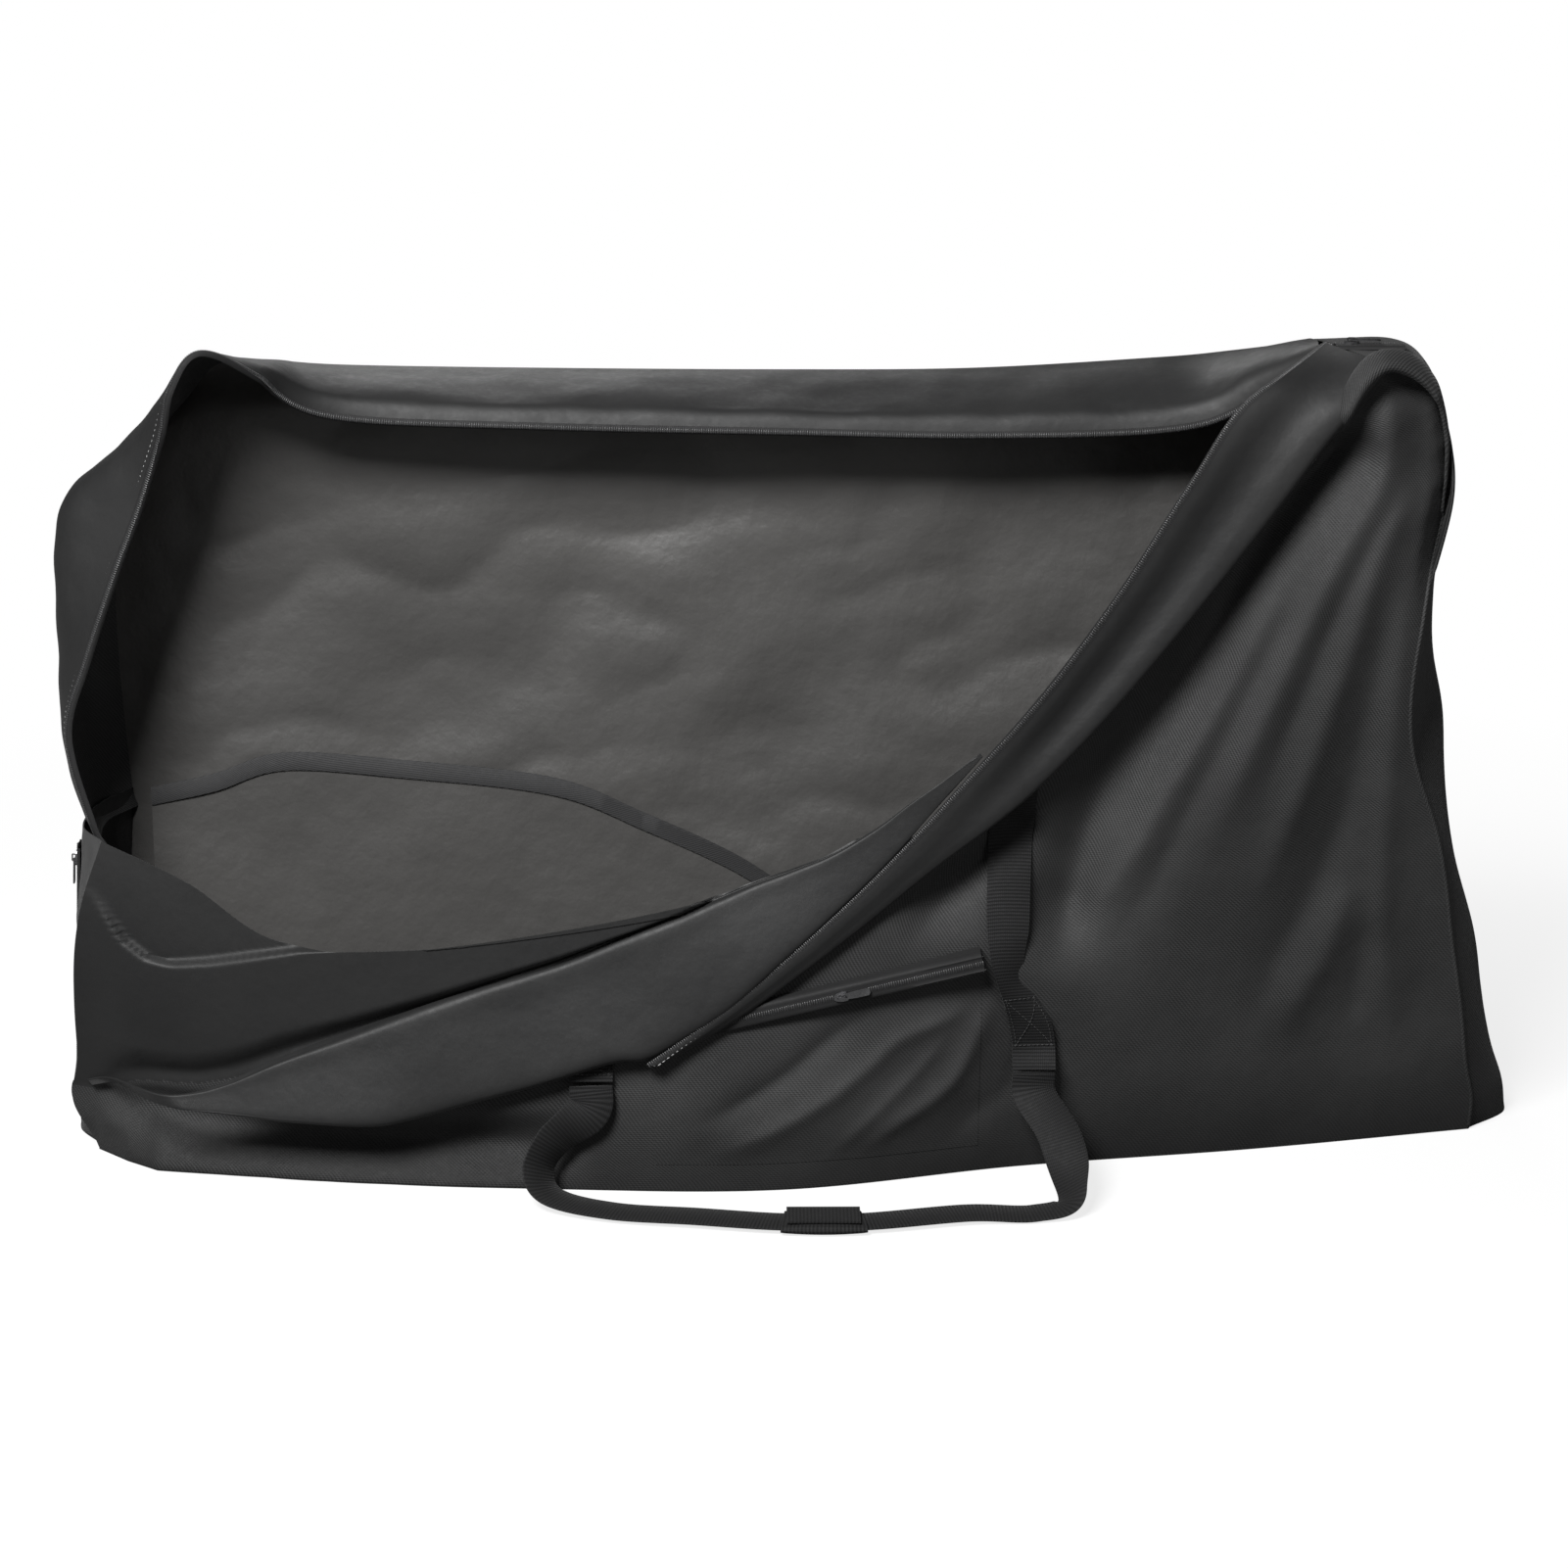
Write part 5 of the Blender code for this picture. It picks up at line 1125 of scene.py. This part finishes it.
# %% [markdown]
# ## Round and flat tubes
# Straps, grips and piping are all closed tubes: rings of points along a path, faces between neighbouring rings
# and a fan over both ends. A curve with a bevel would be shorter to write, but its section can't change on the
# way, as the grip's does.
# %% Tubes
def tube(name, rings, finishes):
    """A closed tube through rings of points, capped at both ends by a fan."""
    rings = np.asarray(rings, float)
    count, around = rings.shape[:2]
    index = np.arange(count * around).reshape(count, around)
    beside = np.roll(index, -1, axis=1)
    sides = np.stack([index[:-1], beside[:-1], beside[1:], index[1:]], -1).reshape(-1, 4)
    points = np.concatenate([rings.reshape(-1, 3), [rings[0].mean(axis=0), rings[-1].mean(axis=0)]])
    start, end = count * around, count * around + 1
    faces = [tuple(f) for f in sides]
    faces += [(start, beside[0, k], index[0, k]) for k in range(around)]
    faces += [(end, index[-1, k], beside[-1, k]) for k in range(around)]
    if shell_volume(points, sides) < 0:
        faces = [tuple(reversed(f)) for f in faces]
    reach = np.concatenate([[0], np.cumsum(np.linalg.norm(np.diff(rings.mean(axis=1), axis=0), axis=1))])
    girth = np.linalg.norm(np.roll(rings[0], -1, axis=0) - rings[0], axis=1)
    u = np.concatenate([[0], np.cumsum(girth)[:-1]])
    uv = [(u[k], reach[i]) for i in range(count) for k in range(around)] + [(0, reach[0]), (0, reach[-1])]
    return put_in_scene(name, points, faces, finishes, None, np.array(uv))


def strap_rings(centres, across, out):
    a, b = STRAP_WIDTH / 2, STRAP_THICKNESS / 2
    inset = STRAP_THICKNESS * 0.45
    section = (
        (-a + inset, -b), (0, -b), (a - inset, -b), (a, -b * 0.3), (a, b * 0.3), (a - inset, b), (0, b),
        (-a + inset, b), (-a, b * 0.3), (-a, -b * 0.3),
    )
    return np.array([[c + w * wide + o * thick for wide, thick in section]
                     for c, w, o in zip(centres, across, out)])


print("tubes can be made")

# %% [markdown]
# ## Handle loops and grips
# The free part of each strap hangs from its two sewn ends and lies on the floor. A padded grip is wrapped round
# its middle, closed by a short flap on top. The grip is a puffed tube round the same path, and the flap starts
# from its own solid.
# %% Handle loops
GRIP_STATION = 7
GRIP_HALF_WIDTH = 0.026
GRIP_SIDES = 28
for prefix, (left, right, side) in HANDLE_ENDS.items():
    centres, across, out = strap_path(left, right, side)
    loop = tube(f"{prefix}_loop_webbing", strap_rings(centres, across, out), (WEBBING,))
    dressed(loop, f"{prefix}_loop", "webbing", f"{prefix}_handle_loop")
    around = np.arange(GRIP_SIDES) * 2 * math.pi / GRIP_SIDES
    c, s = np.cos(around), np.sin(around)
    wide = GRIP_HALF_WIDTH * np.sign(c) * np.abs(c) ** 0.6
    grip_rings = []
    for step in range(STRAP_STEPS + 1):
        k = GRIP_STATION * STRAP_STEPS + step
        puff = 0.66 + 0.34 * math.sin(math.pi * step / STRAP_STEPS) ** 0.5
        tall = GRIP_HEIGHT / 2 * np.sign(s) * np.abs(s) ** 0.6 * puff
        grip_rings.append(centres[k] + across[k] * wide[:, None] + out[k] * tall[:, None])
    grip = tube(f"{prefix}_grip_pad", grip_rings, (WEBBING,))
    dressed(grip, f"{prefix}_loop", "webbing", f"{prefix}_handle_grip")
    node = f"{prefix}_grip_flap"
    centre, flap_along, flap_across, flap_out, (length, width, thickness) = bar_axes(node, (0, 0, 1))
    rows = []
    for step in np.linspace(-0.5, 0.5, 30):
        start, domed = centre + flap_along * length * step, 0.0006 * math.cos(math.pi * step)
        rows.append([start + flap_across * width * u + flap_out * (thickness / 2 + domed * (1 - (2 * u) ** 4))
                     for u in np.linspace(-0.5, 0.5, 16)])
    sewn_sheet(f"{node}_cloth", np.array(rows), (WEBBING, TWILL), "folded", [f"{prefix}_grip_pad"], node,
               body=f"{prefix}_grip_cover", slot="webbing", thickness=thickness)

# %% [markdown]
# ## The sewn legs
# Above the loops the straps are sewn to the bag. The left leg disappears under the turned out corner. The
# right one comes out from under the slanted strip, twists, and is sewn down in a box of stitches before it
# leaves the bag as the loop. Each leg is laid on the cloth behind it, and it is too stiff to follow small folds
# across its width.
# %% Sewn legs
# Height, middle and width share of each leg, from the foot up
LEG_SHAPES = {
    "front_handle_leg_left": (
        (0.1230, -0.200, 1.0), (0.150, -0.200, 1.0), (0.180, -0.199, 1.0), (0.214, -0.198, 1.0),
    ),
    "front_handle_leg_right": (
        (0.1205, 0.262, 1.0), (0.150, 0.261, 1.0), (0.175, 0.256, 0.97), (0.200, 0.246, 0.80),
        (0.222, 0.236, 0.66), (0.248, 0.232, 0.78), (0.280, 0.232, 0.98), (0.330, 0.233, 1.0),
        (0.380, 0.235, 1.0), (0.425, 0.238, 1.0),
    ),
    "back_handle_leg_left": ((0.1205, -0.200, 1.0), (0.170, -0.200, 1.0), (0.214, -0.200, 1.0)),
    "back_handle_leg_right": ((0.1205, 0.262, 1.0), (0.25, 0.250, 1.0), (0.377, 0.234, 1.0)),
}
offsets = np.linspace(-0.5, 0.5, 13)[None] * STRAP_WIDTH
for node, shape in LEG_SHAPES.items():
    leg_z, leg_middle, leg_width = curve_through(shape, 14).T[..., None]
    leg_x = leg_middle + offsets * leg_width
    leg_z = leg_z + 0 * leg_x
    foot = eased((0.150 - leg_z) / 0.030)
    front = node.startswith("front")
    if front:
        ground = front_face(leg_x, leg_z)
        ground = ground.min(axis=1, keepdims=True) * 0.6 + ground * 0.4
        twist = (1 - leg_width) * offsets / STRAP_WIDTH * 0.05
        leg_y = ground - 0.0008 - STRAP_THICKNESS + twist
        end_y = HANDLE_ENDS["front"][int("right" in node)][1] - STRAP_THICKNESS / 2 - 0.001
        leg_y = leg_y * (1 - foot) + np.minimum(end_y, leg_y) * foot
    else:
        leg_y = BACK_FACE + 0.0012 + STRAP_THICKNESS + 0 * leg_x
        leg_y = leg_y + foot * (0.141 + STRAP_THICKNESS / 2 + 0.001 - leg_y)
    leg_grid = np.stack([leg_x, leg_y, leg_z], axis=-1)
    wall = "front_panel_cloth" if front else "back_panel_cloth"
    sewn_sheet(f"{node}_webbing", leg_grid, (WEBBING, WEBBING), "stretched", [wall], node, slot="webbing",
               thickness=STRAP_THICKNESS * 0.8, turned=None if front else 1)
    # The box of stitches and the cross in it
    low_row, high_row = int(0.10 * len(leg_grid)), int(0.34 * len(leg_grid))
    columns = np.arange(1, 12)
    slope = [int(low_row + (high_row - low_row) * k / 10) for k in range(11)]
    for line in (leg_grid[low_row:high_row, 1], leg_grid[low_row:high_row, 11], leg_grid[low_row, 1:12],
                 leg_grid[high_row, 1:12], leg_grid[slope, columns], leg_grid[slope, columns[::-1]]):
        keep_line(DARK_STITCH_LINES, line, (0, -1.0 if front else 1.0, 0))

# %% [markdown]
# ## A group that lays stitches and teeth
# Thread and coil are the same small arc laid again and again along a line. A geometry node group does the
# laying: it cuts the line into even steps, turns an arc to the line and to the cloth's outward direction at
# each step, and joins the copies into one mesh. A bump map would be cheaper, but it leaves the zip's edge flat.
# %% A group that lays arcs along a line
lay = bpy.data.node_groups.new("arcs_along_line", "GeometryNodeTree")
lay.interface.new_socket("Geometry", in_out="INPUT", socket_type="NodeSocketGeometry")
LAY_SOCKETS = {}
for label in ("Step", "Reach", "Thread", "Rise", "Turn", "Finish"):
    kind = "NodeSocketMaterial" if label == "Finish" else "NodeSocketFloat"
    LAY_SOCKETS[label] = lay.interface.new_socket(label, in_out="INPUT", socket_type=kind).identifier
lay.interface.new_socket("Geometry", in_out="OUTPUT", socket_type="NodeSocketGeometry")
lay_in, lay_out = lay.nodes.new("NodeGroupInput"), lay.nodes.new("NodeGroupOutput")


def lay_node(kind, inputs=None, **settings):
    return add_node(lay, kind, inputs, **settings).outputs[0]


half_reach = times(lay, lay_in.outputs["Reach"], 0.5)
arc = lay_node("GeometryNodeCurveQuadraticBezier", {
    "Resolution": 4,
    "Start": lay_node("ShaderNodeCombineXYZ", {"X": times(lay, half_reach, -1.0)}),
    "Middle": lay_node("ShaderNodeCombineXYZ", {"Z": lay_in.outputs["Rise"]}),
    "End": lay_node("ShaderNodeCombineXYZ", {"X": half_reach}),
})
section = lay_node("GeometryNodeCurvePrimitiveCircle", {"Resolution": 5, "Radius": lay_in.outputs["Thread"]})
thread = lay_node("GeometryNodeCurveToMesh", {"Curve": arc, "Profile Curve": section, "Fill Caps": True})
turned = lay_node("ShaderNodeCombineXYZ", {"Z": lay_in.outputs["Turn"]})
placed = lay_node("GeometryNodeTransform", {"Geometry": thread, "Rotation": turned})
line = lay_node("GeometryNodeMeshToCurve", {"Mesh": lay_in.outputs["Geometry"]})
even = lay_node("GeometryNodeResampleCurve", {"Curve": line, "Length": lay_in.outputs["Step"]}, mode="LENGTH")
outward_field = lay_node("GeometryNodeInputNamedAttribute", {"Name": "outward"}, data_type="FLOAT_VECTOR")
tangent = lay_node("GeometryNodeInputTangent")
turn = lay_node("FunctionNodeAlignRotationToVector", {"Vector": tangent}, axis="X")
upright = {"Rotation": turn, "Vector": outward_field}
turn = lay_node("FunctionNodeAlignRotationToVector", upright, axis="Z", pivot_axis="X")
copies = lay_node("GeometryNodeInstanceOnPoints", {"Points": even, "Instance": placed, "Rotation": turn})
joined = lay_node("GeometryNodeRealizeInstances", {"Geometry": copies})
finished = lay_node("GeometryNodeSetMaterial", {"Geometry": joined, "Material": lay_in.outputs["Finish"]})
lay.links.new(finished, lay_out.inputs[0])
print("group", lay.name, "with", len(lay.nodes), "nodes")

# %% [markdown]
# ## Stitches and zip teeth
# Two rows of light thread run beside each open zip, and dark thread holds the seam, the pocket and the legs.
# Their lines come from the cloth pieces above, so each stitch sits on its cloth. One arc's worth of settings
# tells thread from teeth.
# %% Lines for the thread and the coil
COIL_REACH = 0.0042
open_edges = (
    (rear_cloth[14:, -1], ring[14:, -1], outward[14:], ring_faces[14:]),
    (strip_grid[:, -1], strip_grid[:, -1], strip_out, strip_faces[:, -1]),
)
for cloth_edge, tape_edge, out, faces_out in open_edges:
    for inset in (0.0025, 0.0065):
        keep_line(STITCH_LINES, cloth_edge - out * inset, faces_out)
    keep_line(COIL_LINES, tape_edge + out * COIL_REACH, faces_out)
keep_line(DARK_STITCH_LINES, strip_grid[:, 2], strip_faces[:, 2])
keep_line(DARK_STITCH_LINES, pocket_grid[-3], (0, -1.0, 0))


def lay_arcs(name, runs, **values):
    """Lays arcs along every run and leaves one plain mesh. values are the group's own inputs."""
    points, edges, outs = [], [], []
    for run, faces_out in runs:
        first = len(points)
        points.extend(run)
        outs.extend(faces_out)
        edges.extend((first + k, first + k + 1) for k in range(len(run) - 1))
    mesh = bpy.data.meshes.new(f"{name}_lines")
    mesh.from_pydata([tuple(p) for p in points], edges, [])
    field = mesh.attributes.new("outward", "FLOAT_VECTOR", "POINT")
    field.data.foreach_set("vector", np.array(outs, np.float32).ravel())
    source = linked(name + "_lines", mesh)
    modifier = source.modifiers.new("arcs", "NODES")
    modifier.node_group = lay
    for label, value in values.items():
        modifier[LAY_SOCKETS[label]] = value
    source.update_tag()
    result = bpy.data.meshes.new_from_object(source.evaluated_get(bpy.context.evaluated_depsgraph_get()))
    result.name = name
    result.shade_smooth()
    bpy.data.objects.remove(source)
    print(name, len(result.polygons), "faces")
    return linked(name, result)


stitches = lay_arcs("zip_edge_stitches", STITCH_LINES, Step=0.0058, Reach=0.0036, Thread=0.00060, Rise=0.0013,
                    Turn=0.0, Finish=THREAD)
seam_stitches = lay_arcs("seam_stitches", DARK_STITCH_LINES, Step=0.0046, Reach=0.0032, Thread=0.00042,
                         Rise=0.0011, Turn=0.0, Finish=DARK_THREAD)
teeth = lay_arcs("zip_coils", COIL_LINES, Step=0.0024, Reach=0.0050, Thread=0.00072, Rise=0.0022,
                 Turn=math.pi / 2, Finish=COIL)
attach(stitches, "bag")
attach(seam_stitches, "bag")
dressed(teeth, "bag", "zip_tape")

# %% [markdown]
# ## Piping on the right seam
# The seam between the front and the right gusset is covered by a thin piping, which catches a line of light
# down the bag's edge. It is a round tube along the seam itself.
# %% Piping
PIPE_RADIUS = 0.0022
PIPE_SIDES = 10
pipe_path = evenly(right_edge[:100], 160)
pipe_along = unit(np.gradient(pipe_path, axis=0))
pipe_side = unit(np.cross(pipe_along, (0, -1.0, 0)))
pipe_front = np.cross(pipe_side, pipe_along)
around = np.arange(PIPE_SIDES) * 2 * math.pi / PIPE_SIDES
aside, ahead = np.cos(around)[:, None], np.sin(around)[:, None]
pipe_rings = [c + s * PIPE_RADIUS * aside + f * PIPE_RADIUS * ahead
              for c, s, f in zip(pipe_path, pipe_side, pipe_front)]
piping = tube("right_seam_piping", np.array(pipe_rings) + (0.0, 0.0, 0.0032), (TWILL,))
dressed(piping, "bag", "outer_cloth")
print(piping.name, len(piping.data.polygons), "faces")

# %% [markdown]
# ## The stage
# A pale floor that fades to white for the camera but keeps the bag's shadow, and large soft lamps with a weak
# sky round them. A plain white backdrop would light the black cloth from all sides and wash out its folds, so
# the white is only for the camera.
# %% Floor, lamps and sky
FLOOR_CORNERS = ((-40, -40, 0), (40, -40, 0), (40, 60, 0), (-40, 60, 0))
# Place, target, width and height in metres, and power in watts
LAMPS = {
    "key_softbox": ((-1.70, -3.70, 4.05), (0.1, 0, 0.35), (2.0, 1.5), 545),
    "right_softbox": ((2.8, -2.8, 1.6), (0.1, 0, 0.4), (1.2, 1.2), 14),
    "left_softbox": ((-3.2, -1.2, 1.4), (-0.3, 0, 0.4), (0.8, 1.2), 12),
    "back_softbox": ((-0.9, 3.6, 3.0), (0, 0, 0.4), (2.0, 1.5), 45),
}

paper, paper_tree = new_material("floor_paper")
seen = add_node(paper_tree, "ShaderNodeLightPath").outputs["Is Camera Ray"]
paper_place = add_node(paper_tree, "ShaderNodeTexCoord").outputs["Object"]
paper_far = add_node(paper_tree, "ShaderNodeVectorMath", {0: paper_place}, operation="LENGTH").outputs["Value"]
white_share = spread(paper_tree, paper_far, 0.9, 2.2, 0.8, 1.0)
paper_shader = paper_tree.nodes["Principled BSDF"]
set_inputs(paper_tree, paper_shader, {
    "Base Color": colour_mix(paper_tree, seen, (0.15, 0.15, 0.15), (0.85, 0.85, 0.85)),
    "Roughness": 0.9,
    "Specular IOR Level": 0.1,
})
glow = add_node(paper_tree, "ShaderNodeEmission")
surface = {"Fac": times(paper_tree, seen, white_share), 1: paper_shader.outputs[0], 2: glow.outputs[0]}
surface = add_node(paper_tree, "ShaderNodeMixShader", surface).outputs[0]
paper_tree.links.new(surface, paper_tree.nodes["Material Output"].inputs["Surface"])
floor_mesh = bpy.data.meshes.new("floor")
floor_mesh.from_pydata(FLOOR_CORNERS, [], [(0, 1, 2, 3)])
floor_mesh.materials.append(paper)
floor = linked("floor", floor_mesh)

world = bpy.data.worlds.new("studio")
bpy.context.scene.world = world
world.use_nodes = True
sky = world.node_tree
sky_seen = add_node(sky, "ShaderNodeLightPath").outputs["Is Camera Ray"]
sky_light = {"Color": (1, 1, 1, 1), "Strength": spread(sky, sky_seen, 0, 1, 0.06, 1.0)}
set_inputs(sky, sky.nodes["Background"], sky_light)

for name, (place, aim, size, power) in LAMPS.items():
    light = bpy.data.lights.new(name, "AREA")
    light.shape = "RECTANGLE"
    light.size, light.size_y = size
    light.energy = power
    lamp = linked(name, light)
    lamp.location = place
    lamp.rotation_euler = (Vector(aim) - Vector(place)).to_track_quat("-Z", "Y").to_euler()
print("stage set with", len(LAMPS), "lamps")
